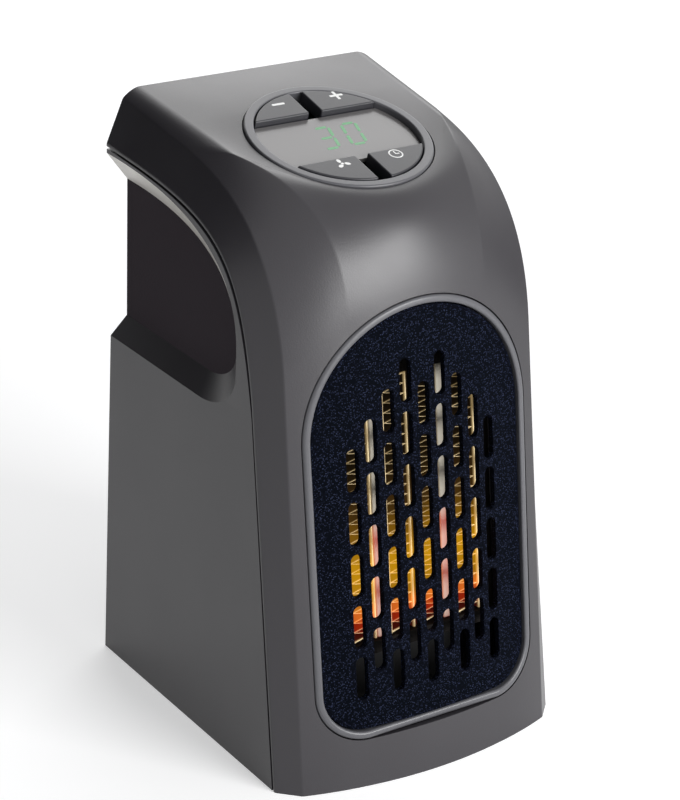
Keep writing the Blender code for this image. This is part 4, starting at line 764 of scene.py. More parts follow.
    def seam_line(self) -> list[Point]:
        """Trace the seam, the lower edge of the front shell.

        Returns:
            The points.
        """
        start = (self.wing_half, self.depth, self.seam_back_z)
        knee_in = (self.wing_half, self.seam_knee_y, self.seam_back_z - self.seam_knee_drop)
        end = (self.base_half, self.seam_base_y, 0.0)
        return self.line(start, knee_in, self.seam_front, end, self.seam_fullness_share)

    @staticmethod
    def outward(line: Sequence[Point], i: int) -> Flat:
        """Find the side view direction that points out of the body.

        Args:
            line: the points of a body line.
            i: which of them.

        Returns:
            The direction, of length 1.
        """
        before = line[max(i - 1, 0)]
        after = line[min(i + 1, len(line) - 1)]
        run = Vector((after[1] - before[1], after[2] - before[2])).normalized()
        return (run.y, -run.x)

    def shifted(self, line: Sequence[Point], distance: float) -> list[Point]:
        """Move a line outwards, with its ends kept on the back plane and the base.

        Args:
            line: its points.
            distance: how far.

        Returns:
            The moved points.
        """
        moved = []
        for i, (x, y, z) in enumerate(line):
            out = self.outward(line, i)
            moved.append([x, y + out[0] * distance, z + out[1] * distance])
        moved[0][1] = line[0][1]
        moved[-1][2] = line[-1][2]
        return [tuple(point) for point in moved]

    def rows(self) -> list[list[Point]]:
        """Lay out the shell's outer surface.

        Returns:
            Its rows, each from the left seam to the right.
        """
        centre, crease = self.centre_line(), self.crease_line()
        facet, seam = self.facet_line(), self.seam_line()
        edge = self.shifted(seam, self.lip)
        rows = []
        for i, middle in enumerate(centre):
            right = []
            for k in range(self.main_columns + 1):
                share = k / self.main_columns
                y = middle[1] + (crease[i][1] - middle[1]) * share ** 2
                z = middle[2] + (crease[i][2] - middle[2]) * share ** 2
                right.append((crease[i][0] * share, y, z))
            out = self.outward(facet, i)
            for k in range(1, self.band_columns + 1):
                share = k / self.band_columns
                lift = 4 * self.band_bulge * share * (1 - share)
                point = [a + (b - a) * share for a, b in zip(crease[i], facet[i])]
                right.append((point[0], point[1] + out[0] * lift, point[2] + out[1] * lift))
            for k in range(1, self.facet_columns + 1):
                share = k / self.facet_columns
                right.append(tuple(a + (b - a) * share for a, b in zip(facet[i], edge[i])))
            right.append(seam[i])
            rows.append([(-x, y, z) for x, y, z in reversed(right[1:])] + right)
        return rows


@dataclass
class Arch:
    """The arched outlet's outline, measured along the leaning front."""

    half: float = 35.0 * MM
    spring: float = 95.4 * MM
    bottom: float = 13.8 * MM
    corner: float = 14.0 * MM
    steps: int = 64
    corner_steps: int = 14

    def outline(self, margin: float) -> list[Flat]:
        """Trace the arch.

        Args:
            margin: how far it is moved inwards.

        Returns:
            The outline.
        """
        half = self.half - margin
        corner = self.corner - margin
        low = self.bottom + margin
        points = arc((half - corner, low + corner), corner, corner, -90, 0, self.corner_steps)
        points += arc((0, self.spring), half, half, 0, 180, self.steps)
        return points + arc((corner - half, low + corner), corner, corner, 180, 270, self.corner_steps)


class Wires:
    """Adds nodes to one tree, and links or sets their inputs in the same step."""

    def __init__(self, tree: bpy.types.NodeTree) -> None:
        """Take the tree to work on."""
        self.tree = tree

    def feed(self, node: Node, feeds: Feeds) -> None:
        """Fill a node's inputs.

        Args:
            node: the node.
            feeds: for each input a socket to link or a value to set.
        """
        for label, value in feeds.items():
            if isinstance(value, Socket):
                self.tree.links.new(value, node.inputs[label])
            else:
                node.inputs[label].default_value = value

    def add(self, kind: str, feeds: Feeds | None = None, **settings: object) -> Node:
        """Add a node.

        Args:
            kind: its type, without the ShaderNode in front.
            feeds: for each input a socket to link or a value to set.
            settings: the node's own settings.

        Returns:
            The node.
        """
        node = self.tree.nodes.new("ShaderNode" + kind)
        for name, value in settings.items():
            setattr(node, name, value)
        self.feed(node, feeds or {})
        return node

    def math(self, operation: str, *values: float | Socket) -> Socket:
        """Return the result of a calculation with sockets and plain numbers."""
        return self.add("Math", dict(enumerate(values)), operation=operation).outputs[0]

    def mix(self, share: Socket, low: object, high: object, blend: str = "MIX") -> Socket:
        """Return a colour that goes from low to high with a share."""
        feeds = {"Factor": share, "A": low, "B": high}
        return self.add("Mix", feeds, data_type="RGBA", blend_type=blend).outputs["Result"]

    def place(self) -> Socket:
        """Return the object coordinates."""
        return self.add("TexCoord").outputs["Object"]

    def height_share(self, low: float, high: float) -> Socket:
        """Return a socket that runs from 0 at a low height to 1 at a high one, in metres."""
        height = self.add("SeparateXYZ", {"Vector": self.place()}).outputs["Z"]
        feeds = {"Value": height, "From Min": low, "From Max": high}
        return self.add("MapRange", feeds).outputs["Result"]


class GroupShop:
    """The shader node groups that several finishes share."""

    RELIEF: float = 0.1 * MM
    FINE_SHARE: float = 0.5
    MEAN_TONE: float = 0.75
    RARE_SHARE: float = 0.35

    def __init__(self) -> None:
        """Build each group once."""
        self.grain = self.make_grain()
        self.specks = self.make_specks()
        self.front = self.make_edge_highlight_mask()

    @staticmethod
    def start(name: str, inputs: dict[str, float | Colour],
              outputs: dict[str, str]) -> tuple[Wires, Node, Node]:
        """Make an empty group with named sockets.

        Args:
            name: the group's name.
            inputs: the default of each input, a number or a colour.
            outputs: the kind of each output: Color, Float or Vector.

        Returns:
            The group's wires, its input node and its output node.
        """
        group = bpy.data.node_groups.new(name, "ShaderNodeTree")
        for label, default in inputs.items():
            kind = "NodeSocketColor" if isinstance(default, tuple) else "NodeSocketFloat"
            socket = group.interface.new_socket(label, in_out="INPUT", socket_type=kind)
            socket.default_value = default
        for label, kind in outputs.items():
            group.interface.new_socket(label, in_out="OUTPUT", socket_type="NodeSocket" + kind)
        return Wires(group), group.nodes.new("NodeGroupInput"), group.nodes.new("NodeGroupOutput")

    @staticmethod
    def make_grain() -> bpy.types.NodeTree:
        """Make the group for moulded plastic: fine grain, cloudy tone and gloss.

        Returns:
            The group.
        """
        wires, entry, leave = GroupShop.start(
            "moulded grain",
            {"Color": (0.1, 0.1, 0.1, 1), "Roughness": 0.4, "Grain Scale": 2400.0,
             "Grain Depth": 0.25, "Cloud Scale": 45.0, "Cloud Amount": 0.12},
            {"Color": "Color", "Roughness": "Float", "Normal": "Vector"},
        )
        given, place = entry.outputs, wires.place()
        noises = (
            wires.add("TexNoise", {"Vector": place, "Scale": given[scale], "Detail": detail})
            for scale, detail in (("Grain Scale", 3.0), ("Cloud Scale", 4.0))
        )
        fine, cloud = (noise.outputs["Fac"] for noise in noises)
        relief = {"Distance": GroupShop.RELIEF, "Strength": given["Grain Depth"], "Height": fine}
        both = wires.math("MULTIPLY_ADD", fine, GroupShop.FINE_SHARE, cloud)
        centred = wires.math("SUBTRACT", both, GroupShop.MEAN_TONE)
        sway = wires.math("MULTIPLY", centred, given["Cloud Amount"])
        tone = {"Color": given["Color"], "Value": wires.math("ADD", sway, 1.0)}
        wires.feed(leave, {
            "Color": wires.add("HueSaturation", tone).outputs["Color"],
            "Roughness": wires.math("ADD", given["Roughness"], sway),
            "Normal": wires.add("Bump", relief).outputs["Normal"],
        })
        return wires.tree

    @staticmethod
    def make_specks() -> bpy.types.NodeTree:
        """Make the group for pale mineral specks in a dark moulded plate.

        Returns:
            The group.
        """
        wires, entry, leave = GroupShop.start(
            "mineral specks",
            {"Color": (0, 0, 0, 1), "Speck Color": (0.5, 0.5, 0.6, 1), "Scale": 2600.0, "Size": 0.4},
            {"Color": "Color"},
        )
        given = entry.outputs
        cells = wires.add("TexVoronoi", {"Vector": wires.place(), "Scale": given["Scale"]}).outputs
        split = wires.add("SeparateColor", {"Color": cells["Color"]}).outputs
        inside = wires.math("LESS_THAN", cells["Distance"], given["Size"])
        rare = wires.math("GREATER_THAN", split["Red"], GroupShop.RARE_SHARE)
        faint = wires.math("MULTIPLY", wires.math("MULTIPLY", inside, rare), split["Green"])
        wires.feed(leave, {"Color": wires.mix(faint, given["Color"], given["Speck Color"])})
        return wires.tree

    @staticmethod
    def make_edge_highlight_mask() -> bpy.types.NodeTree:
        """Make the group that is 1 near the leaning front and falls to 0 behind it, the mask of the fins'
        painted edge highlight.

        Returns:
            The group.
        """
        wires, entry, leave = GroupShop.start(
            "near the front", {"Near": 8.3 * MM, "Far": 8.9 * MM}, {"Front": "Float"},
        )
        front = BodyForm().front_plane()
        inwards = front.to_3x3().col[1]
        along = wires.add("VectorMath", {0: wires.place(), 1: inwards}, operation="DOT_PRODUCT")
        depth = wires.math("SUBTRACT", along.outputs["Value"], front.translation.dot(inwards))
        fall = wires.add("MapRange", {
            "Value": depth, "From Min": entry.outputs["Near"], "From Max": entry.outputs["Far"],
            "To Min": 1.0, "To Max": 0.0,
        })
        wires.feed(leave, {"Front": fall.outputs["Result"]})
        return wires.tree


@dataclass(frozen=True)
class Finish:
    """One surface finish.

    Attributes:
        name: a maker's plain name for it.
        colour: as seen on a screen, 0 to 255.
        roughness: 0 is a mirror.
        metallic: 1 for bare metal.
        grain: how deep the moulded grain is.
        cloud: how much tone and gloss wander.
        grain_scale: grains per metre.
        specular: how strongly a non-metal reflects.
        coat: a clear layer on top.
        coat_roughness: how dull that layer is.
        specks: colour of pale specks, if it has them.
        glow: colours it shines with from its lowest to its highest point, if it has them: the display's
            own light, and on the heating element a painted glow.
        glow_heights: the heights in metres of those colours.
        glow_strength: how bright they are.
        edge: painted highlight colour on the edges next to the grille, if there is one.
        edge_highlight_glow: the painted highlight's glow on those edges, on top of the glow.
        fade: colour below the fade heights, if it differs; under the recess brow's painted highlight it
            is the shell's colour.
        fade_heights: the heights in metres between which it turns into the main colour.
    """

    name: str
    colour: Seen
    roughness: float
    metallic: float = 0.0
    grain: float = 0.2
    cloud: float = 0.12
    grain_scale: float = 2400.0
    specular: float = 0.5
    coat: float = 0.0
    coat_roughness: float = 0.08
    specks: Seen | None = None
    glow: tuple[Seen, ...] = ()
    glow_heights: tuple[float, ...] = ()
    glow_strength: float = 1.0
    edge: Seen | None = None
    edge_highlight_glow: Seen = (0, 0, 0)
    fade: Seen | None = None
    fade_heights: tuple[float, float] = (0.0, 1.0)

    def make(self, shop: GroupShop) -> bpy.types.Material:
        """Build the material.

        Args:
            shop: the shared node groups.

        Returns:
            The material.
        """
        material = bpy.data.materials.new(self.name)
        material.use_nodes = True
        wires = Wires(material.node_tree)
        shader = wires.tree.nodes["Principled BSDF"]
        main = colour = linear(*self.colour)
        front = None
        if self.specks is not None:
            feeds = {"Color": main, "Speck Color": linear(*self.specks)}
            colour = wires.add("Group", feeds, node_tree=shop.specks).outputs["Color"]
        # Painted highlight: the fins' front edges next to the grille turn pale.
        if self.edge is not None:
            front = wires.add("Group", node_tree=shop.front).outputs["Front"]
            colour = wires.mix(front, main, linear(*self.edge))
        # Painted highlight on the recess brow: the main colour high up, turning into the fade colour
        # lower down.
        if self.fade is not None:
            colour = wires.mix(wires.height_share(*self.fade_heights), linear(*self.fade), main)
        feeds = {"Color": colour, "Roughness": self.roughness, "Grain Depth": self.grain,
                 "Grain Scale": self.grain_scale, "Cloud Amount": self.cloud}
        grain = wires.add("Group", feeds, node_tree=shop.grain).outputs
        wires.feed(shader, {
            "Base Color": grain["Color"], "Roughness": grain["Roughness"], "Normal": grain["Normal"],
            "Metallic": self.metallic, "Specular IOR Level": self.specular,
            "Coat Weight": self.coat, "Coat Roughness": self.coat_roughness,
        })
        if self.glow:
            self.add_glow(wires, shader, front)
        return material

    def add_glow(self, wires: Wires, shader: Node, front: Socket | None) -> None:
        """Let the finish shine in colours that change with height: the display's own light, or a painted
        glow on the heating element.

        Args:
            wires: the material's wires.
            shader: the shader that shines.
            front: a socket that is 1 on the edges next to the grille, where a painted highlight is added.
        """
        low, high = self.glow_heights[0], self.glow_heights[-1]
        ramp = wires.add("ValToRGB", {"Fac": wires.height_share(low, high)})
        marks = ramp.color_ramp.elements
        for number, (colour, level) in enumerate(zip(self.glow, self.glow_heights)):
            share = (level - low) / (high - low)
            between = 0 < number < len(self.glow) - 1
            mark = marks.new(share) if between else marks[-1 if number else 0]
            mark.position = share
            mark.color = linear(*colour)
        glow = ramp.outputs["Color"]
        if front is not None:
            # Painted highlight: the fins' front edges shine more, on top of the painted glow.
            glow = wires.mix(front, glow, linear(*self.edge_highlight_glow), "ADD")
        wires.feed(shader, {"Emission Color": glow, "Emission Strength": self.glow_strength})


class Paint(Enum):
    """Every finish on the heater."""

    SHELL = Finish("anthracite satin plastic", (48, 46, 50), 0.36, grain=0.22, cloud=0.10, specular=0.55)
    GRIP = Finish("coarse grip texture", (56, 50, 55), 0.85, grain=0.6, cloud=0.10, grain_scale=1500.0,
                  specular=0.15)
    TRIM = Finish("grey satin trim", (84, 84, 88), 0.32, grain=0.12, cloud=0.06)
    # The recess brow's pale colour is a painted highlight, which fades into the shell's colour lower
    # down.
    BROW = Finish("recess brow painted highlight", (240, 236, 227), 0.36, grain=0.22, cloud=0.10, specular=0.55,
                  fade=(48, 46, 50), fade_heights=(0.115, 0.151))
    GRILLE = Finish("speckled black plate", (5, 7, 14), 0.75, grain=0.3, specular=0.02,
                    specks=(46, 52, 74))
    WINDOW = Finish("smoked display window", (98, 96, 96), 0.24, grain=0.02, cloud=0.03, coat=0.2)
    BUTTON = Finish("satin button plastic", (40, 40, 45), 0.38, grain=0.2, cloud=0.08)
    MARK = Finish("white mark paint", (248, 248, 246), 0.5, grain=0.05, cloud=0.05)
    DIGIT = Finish("lit green segment", (104, 158, 116), 0.5, grain=0.02, cloud=0.02,
                   glow=((76, 134, 92), (86, 146, 102)), glow_heights=(0.15, 0.17), glow_strength=0.35)
    BOARD = Finish("green circuit board", (26, 92, 52), 0.45, grain=0.1, cloud=0.1)
    BLACK = Finish("black nylon", (30, 30, 31), 0.5, grain=0.2)
    WHITE = Finish("white bobbin plastic", (228, 226, 218), 0.45, grain=0.1)
    STEEL = Finish("zinc-plated steel", (200, 200, 202), 0.32, metallic=1.0, grain=0.1, cloud=0.1)
    NICKEL = Finish("nickel-plated brass", (214, 206, 188), 0.22, metallic=1.0, grain=0.05, cloud=0.08)
    # The fins' dark colour is painted shade between them, the pale edge colour a painted highlight, and
    # the glow a painted glow.
    FIN = Finish("folded fin aluminium", (66, 52, 32), 0.5, metallic=0.6, grain=0.1,
                 glow=((50, 6, 4), (150, 34, 10), (214, 112, 38), (150, 104, 12), (186, 134, 14),
                       (120, 84, 12), (56, 38, 12), (20, 14, 6), (8, 6, 4)),
                 glow_heights=(0.038, 0.0405, 0.0435, 0.047, 0.055, 0.063, 0.070, 0.082, 0.104),
                 edge=(226, 208, 168), edge_highlight_glow=(112, 94, 60))
    # The ceramic's red glow low down is a painted glow.
    CERAMIC = Finish("heating ceramic", (190, 183, 168), 0.6, grain=0.15, specular=0.3,
                     glow=((110, 24, 14), (150, 40, 26), (160, 40, 26), (24, 8, 6), (0, 0, 0)),
                     glow_heights=(0.038, 0.048, 0.064, 0.071, 0.080))
    FRAME = Finish("heat-proof frame", (20, 17, 15), 0.7, grain=0.3, specular=0.15)


SLOT_PAINTS = {
    "anthracite_plastic": Paint.SHELL,
    "grey_trim": Paint.TRIM,
    "black_grille": Paint.GRILLE,
    "display_window": Paint.WINDOW,
    "button_plastic": Paint.BUTTON,
    "circuit_board": Paint.BOARD,
    "black_parts": Paint.BLACK,
    "white_parts": Paint.WHITE,
    "steel": Paint.STEEL,
    "nickel_brass": Paint.NICKEL,
    "fin_aluminium": Paint.FIN,
    "heater_ceramic": Paint.CERAMIC,
    "frame_plastic": Paint.FRAME,
}


class Paintbox:
    """Hands out each finish's material, built the first time it is asked for."""

    def __init__(self) -> None:
        """Build the shared node groups."""
        self.shop = GroupShop()
        self.made: dict[Paint, bpy.types.Material] = {}

    def get(self, paint: Paint) -> bpy.types.Material:
        """Return a finish's material."""
        if paint not in self.made:
            self.made[paint] = paint.value.make(self.shop)
        return self.made[paint]

    def dress_faces(self, piece: Piece, paint: Paint, wanted: Callable[[Face], bool]) -> None:
        """Give the faces for which a test holds a finish of their own.

        Args:
            piece: a piece that is dressed already.
            paint: the faces' finish.
            wanted: the test on a face.
        """
        piece.data.materials.append(self.get(paint))
        for face in piece.data.polygons:
            if wanted(face):
                face.material_index = len(piece.data.materials) - 1

    def dress(self, piece: Piece, slot: str, *nodes: str, body: Body = Body.HEATER,
              paint: Paint | None = None) -> Piece:
        """Give a piece its finish, its body, its material slot and the nodes it stands for.

        Args:
            piece: the finished piece.
            slot: the record's material slot.
            nodes: CAD nodes that it replaces.
            body: the body it rides on.
            paint: its finish, where it isn't the slot's own.

        Returns:
            The same piece.
        """
        piece.data.materials.clear()
        piece.data.materials.append(self.get(SLOT_PAINTS[slot] if paint is None else paint))
        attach(piece, body.value)
        if nodes:
            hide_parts(*nodes)
        log.info("%s: %d faces", piece.name, len(piece.data.polygons))
        return piece


@dataclass
class LineMarks:
    """Remembers which lengthwise line of the shell each corner lies on, counted from its edges."""

    lines: dict[Point, int] = field(default_factory=dict)
    wanted: tuple[int, ...] = ()

    @staticmethod
    def key(place: Vector) -> Point:
        """Return a corner's place, rounded so that it can be looked up."""
        return tuple(round(value, 7) for value in place)

    def on_line(self, edge: Edge) -> bool:
        """Tell whether an edge runs along one of the wanted lines."""
        first, second = (self.lines.get(self.key(end.co)) for end in edge.verts)
        return first is not None and first == second and first in self.wanted


@dataclass
class ShellMaker:
    """The front shell: sloped top, bowed front, wings, outlet and panel hole."""

    form: BodyForm
    arch: Arch
    crease_round: float = 0.5 * MM
    lip_round: float = 0.35 * MM
    hole: float = 25.4 * MM
    round_segments: int = 3
    smooth_angle: float = 24.0

    def build(self) -> Piece:
        """Build the shell, in the record's frame.

        Returns:
            The shell.
        """
        rows = self.form.rows()
        first = [tuple(a + (a - b) for a, b in zip(p, q)) for p, q in zip(rows[0], rows[1])]
        last = [tuple(a + (a - b) for a, b in zip(p, q)) for p, q in zip(rows[-1], rows[-2])]
        rows = [first, *rows, last]
        across, along = len(rows[0]) - 1, len(rows) - 1
        Bench.rest()
        bpy.ops.mesh.primitive_grid_add(x_subdivisions=across, y_subdivisions=along, size=1.0)
        shell = bpy.context.object
        shell.name = "front_shell_skin"
        marks = LineMarks()

        def spread(place: Vector) -> Vector:
            """Find a corner's place on the shell, and remember its line.

            Args:
                place: its place on the flat grid.

            Returns:
                Its place on the shell.
            """
            i = round((0.5 - place.y) * along)
            j = round((place.x + 0.5) * across)
            spot = Vector(rows[i][j])
            marks.lines[marks.key(spot)] = min(j, across - j)
            return spot

        self.face_out(Bench.reshape(shell, spread))
        Bench.modify(shell, "SOLIDIFY", thickness=WALL, offset=-1.0, use_even_offset=True)
        facet = 1 + self.form.facet_columns
        creases = (facet, facet + self.form.band_columns)
        for wanted, width in (((0, 1), self.lip_round), (creases, self.crease_round)):
            marks.wanted = wanted
            Bench.bevel_edges(shell, marks.on_line, width, self.round_segments)
        depth = self.form.depth
        Bench.slice(shell, (0, 0, 0), (0, 0, -1), True)
        Bench.slice(shell, (0, depth, 0), (0, 1, 0), True)
        Bench.close(shell)
        Bench.settle(shell, self.form.place())
        cutter = Bench.prism("arch_cut", self.arch.outline(-FIT), -OVERRUN, OVERRUN, flat_on_y)
        Bench.blend(shell, Bench.settle(cutter, self.form.front_plane()), Blend.CUT)
        cutter = Bench.prism("panel_cut", circle((0, 0), self.hole, 120), -OVERRUN, OVERRUN)
        Bench.blend(shell, Bench.settle(cutter, self.form.panel_plane()), Blend.CUT)
        return Bench.smooth(shell, self.smooth_angle)

    @staticmethod
    def face_out(shell: Piece) -> None:
        """Turn the open surface's faces outwards, by the one at its highest point.

        Args:
            shell: the surface.
        """
        top = max(shell.data.polygons, key=lambda face: face.center.z)
        if top.normal.z < 0:
            Bench.edit(shell, select="SELECT")
            bpy.ops.mesh.flip_normals()
            Bench.rest()


@dataclass
class HousingMaker:
    """The rear housing: sides with finger recesses, base, screw bosses and switch opening."""

    form: BodyForm
    seam_gap: float = 0.5 * MM
    floor_half: float = 38.2 * MM
    floor_front: float = 39.6 * MM
    floor_bottom: float = 101.5 * MM
    floor_top: float = 140.9 * MM
    floor_run: float = 13.6 * MM
    floor_rise: float = 9.0 * MM
    mouth_half: float = 44.6 * MM
    mouth_front: float = 29.5 * MM
    mouth_bottom: float = 95.1 * MM
    mouth_margin: float = 1.5 * MM
    mouth_run: float = 19.0 * MM
    mouth_rise: float = 13.0 * MM
    brow_y: float = 94.0 * MM
    brow_fullness_share: float = 0.67
    floor_lift: float = 1.5 * MM
    mouth_lift: float = 8.2 * MM
    floor_backing_share: float = 0.36
    mouth_backing_share: float = 1.55
    corner_steps: int = 18
    brow_steps: int = 30
    floor_steps: int = 12
    boss_spots: tuple[Flat, ...] = ((38.4 * MM, 6.4 * MM), (31.8 * MM, 140.0 * MM))
    boss_radius: float = 4.3 * MM
    boss_length: float = 16.0 * MM
    screw_hole: float = 1.6 * MM
    screw_depth: float = 10.8 * MM
    switch_y: float = 66.0 * MM
    switch_z: float = 24.0 * MM
    switch_half_y: float = 6.8 * MM
    switch_half_z: float = 9.9 * MM
    edge_round: float = 0.35 * MM
    brow_inset: float = 1.0 * MM
    brow_turn_share: float = 0.04
    floor_turn_share: float = 0.99
    tongue_in: float = 39.2 * MM
    tongue_out: float = 41.2 * MM
    tongue_top: float = 122.0 * MM
    tongue_back: float = 2.0 * MM
    tongue_front: float = 1.2 * MM

    def section(self, margin: float, top: float) -> list[Flat]:
        """Trace the section in the XZ plane.

        Args:
            margin: how far it is moved inwards.
            top: the height at which it ends.

        Returns:
            The outline.
        """
        form = self.form
        right = [
            (form.base_half - margin, margin),
            (form.waist_half - margin, form.waist_height),
            (form.wing_half - margin, form.seam_back_z),
            (form.wing_half - margin, top),
        ]
        return right + [(-x, z) for x, z in reversed(right)]

    def recess_outline(self, front: float, low: float, top: float, corner: Flat,
                       lift: float) -> list[Flat]:
        """Return the side view outline of a recess, open past the back plane.

        Args:
            front: where its front edge stands.
            low: its lower edge.
            top: its upper edge.
            corner: run and rise of its lower front corner.
            lift: how far above that corner the curved roof starts.

        Returns:
            The outline's points.
        """
        back = self.form.depth + OVERRUN
        run, rise = corner
        points = [(back, low)]
        turn = arc((front + run, low + rise), run, rise, 180, 270, self.corner_steps)
        points += reversed(turn)
        start = (0.0, front, low + rise + lift)
        high = (0.0, self.brow_y, top)
        fullness = self.brow_fullness_share
        brow = BodyForm.knee(start, (front, top), high, fullness, self.brow_steps) + [high]
        return points + [(y, z) for x, y, z in brow] + [(back, top)]

    def recess(self, side: int, backing: float) -> Piece:
        """Return the solid that carves one recess, grown by a backing wall.

        Args:
            side: -1 for the left recess, 1 for the right one.
            backing: how much it grows.

        Returns:
            The solid.
        """
        floor_grow = backing * self.floor_backing_share
        mouth_grow = backing * self.mouth_backing_share
        floor = self.recess_outline(
            self.floor_front - floor_grow, self.floor_bottom - floor_grow,
            self.floor_top + floor_grow, (self.floor_run, self.floor_rise), self.floor_lift,
        )
        mouth = self.recess_outline(
            self.mouth_front - mouth_grow, self.mouth_bottom - mouth_grow,
            self.form.seam_back_z - self.mouth_margin + mouth_grow,
            (self.mouth_run, self.mouth_rise), self.mouth_lift,
        )
        levels = (
            (floor, self.floor_half - backing),
            (mouth, self.mouth_half),
            (mouth, self.mouth_half + OVERRUN),
        )
        return Bench.loft("recess", [flat_on_x(outline, side * x) for outline, x in levels])

    def tongue(self, side: int) -> Piece:
        """Return the rib behind the seam that keeps light from shining through it.

        Args:
            side: -1 for the left rib, 1 for the right one.

        Returns:
            The rib.
        """
        seam = self.form.seam_line()
        back = self.form.shifted(seam, -self.tongue_back)
        front = self.form.shifted(seam, self.tongue_front)
        outline = [(y, z) for x, y, z in back if z < self.tongue_top]
        outline += [(y, z) for x, y, z in reversed(front) if z < self.tongue_top]
        near, far = sorted((side * self.tongue_in, side * self.tongue_out))
        return Bench.prism("tongue", outline, near, far, flat_on_x)

    def boss_places(self) -> list[Flat]:
        """Return where the back cover's screws sit in the back plane."""
        return [(side * x, z) for x, z in self.boss_spots for side in (1, -1)]

    def build(self) -> Piece:
        """Build the housing, in the record's frame.

        Returns:
            The housing.
        """
        form = self.form
        skin = self.section(0.0, form.height)
        housing = Bench.prism("rear_housing_skin", skin, -OVERRUN, form.depth, flat_on_y)
        profile = [(y, z) for x, y, z in form.shifted(form.seam_line(), -self.seam_gap)]
        back = form.depth + OVERRUN
        profile[0] = (back, profile[0][1])
        profile += [(profile[-1][0], -OVERRUN), (back, -OVERRUN)]
        reach = form.base_half + OVERRUN
        Bench.blend(housing, Bench.prism("profile", profile, -reach, reach, flat_on_x), Blend.KEEP)
        for side in (-1, 1):
            Bench.blend(housing, self.recess(side, 0.0), Blend.CUT)
        room = self.section(WALL, form.height + OVERRUN)
        cavity = Bench.prism("cavity", room, -2 * OVERRUN, back, flat_on_y)
        for side in (-1, 1):
            Bench.blend(cavity, self.recess(side, WALL), Blend.CUT)
        Bench.blend(housing, cavity, Blend.CUT)
        Bench.blend(housing, self.front_floor(), Blend.JOIN)
        for side in (-1, 1):
            Bench.blend(housing, self.tongue(side), Blend.JOIN)
        end = form.depth - CoverMaker.thickness - FIT
        for place in self.boss_places():
            round_post = circle(place, self.boss_radius)
            boss = Bench.prism("boss", round_post, end - self.boss_length, end, flat_on_y)
            Bench.blend(housing, boss, Blend.JOIN)
            bore = circle(place, self.screw_hole, 16)
            hole = Bench.prism("hole", bore, form.depth - self.screw_depth, back, flat_on_y)
            Bench.blend(housing, hole, Blend.CUT)
        spot = (form.base_half, self.switch_y, self.switch_z)
        half = (OVERRUN, self.switch_half_y, self.switch_half_z)
        low, high = (tuple(a + side * b for a, b in zip(spot, half)) for side in (-1, 1))
        Bench.blend(housing, Bench.block("switch_opening", low, high), Blend.CUT)
        Bench.close(housing)
        return Bench.seat(housing, form.place(), 30.0, (self.edge_round, 2, 30.0))

    def on_floor(self, face: Face) -> bool:
        """Tell whether a face lies on a recess floor."""
        outwards = face.normal.x * face.center.x > 0 and abs(face.normal.x) > self.floor_turn_share
        return outwards and abs(abs(face.center.x) - self.floor_half) < 10 * MERGE

    def on_brow_highlight(self, face: Face) -> bool:
        """Tell whether a face lies on the slanted edge over a recess and in front of it, which carries
        the painted highlight.

        Args:
            face: a face of the housing.

        Returns:
            Whether it does.
        """
        place, inset_by = face.center, self.brow_inset
        slanted = self.floor_half + inset_by < abs(place.x) < self.form.base_half - inset_by
        level = self.floor_bottom < place.z < self.form.seam_back_z
        return slanted and level and face.normal.z < self.brow_turn_share

    def front_floor(self) -> Piece:
        """Build the base in front of the sides, behind the bowed front.

        Returns:
            That part of the base.
        """
        form = self.form
        steps = self.floor_steps
        across = (form.facet_base * k / steps for k in range(1 - steps, steps))
        front = [(x, form.front_y(0, x)) for x in across]
        edge = form.shifted(form.seam_line(), form.lip)[-1]
        right = [(form.facet_base, 0.0), (edge[0], edge[1]), (form.base_half, form.depth)]
        outline = front + right + [(-x, y) for x, y in reversed(right)]
        outline = inset(outline, WALL + self.seam_gap + WALL * math.tan(form.lean))
        limit = form.seam_base_y + OVERRUN
        return Bench.prism("front_floor", [(x, min(y, limit)) for x, y in outline], 0.0, WALL)


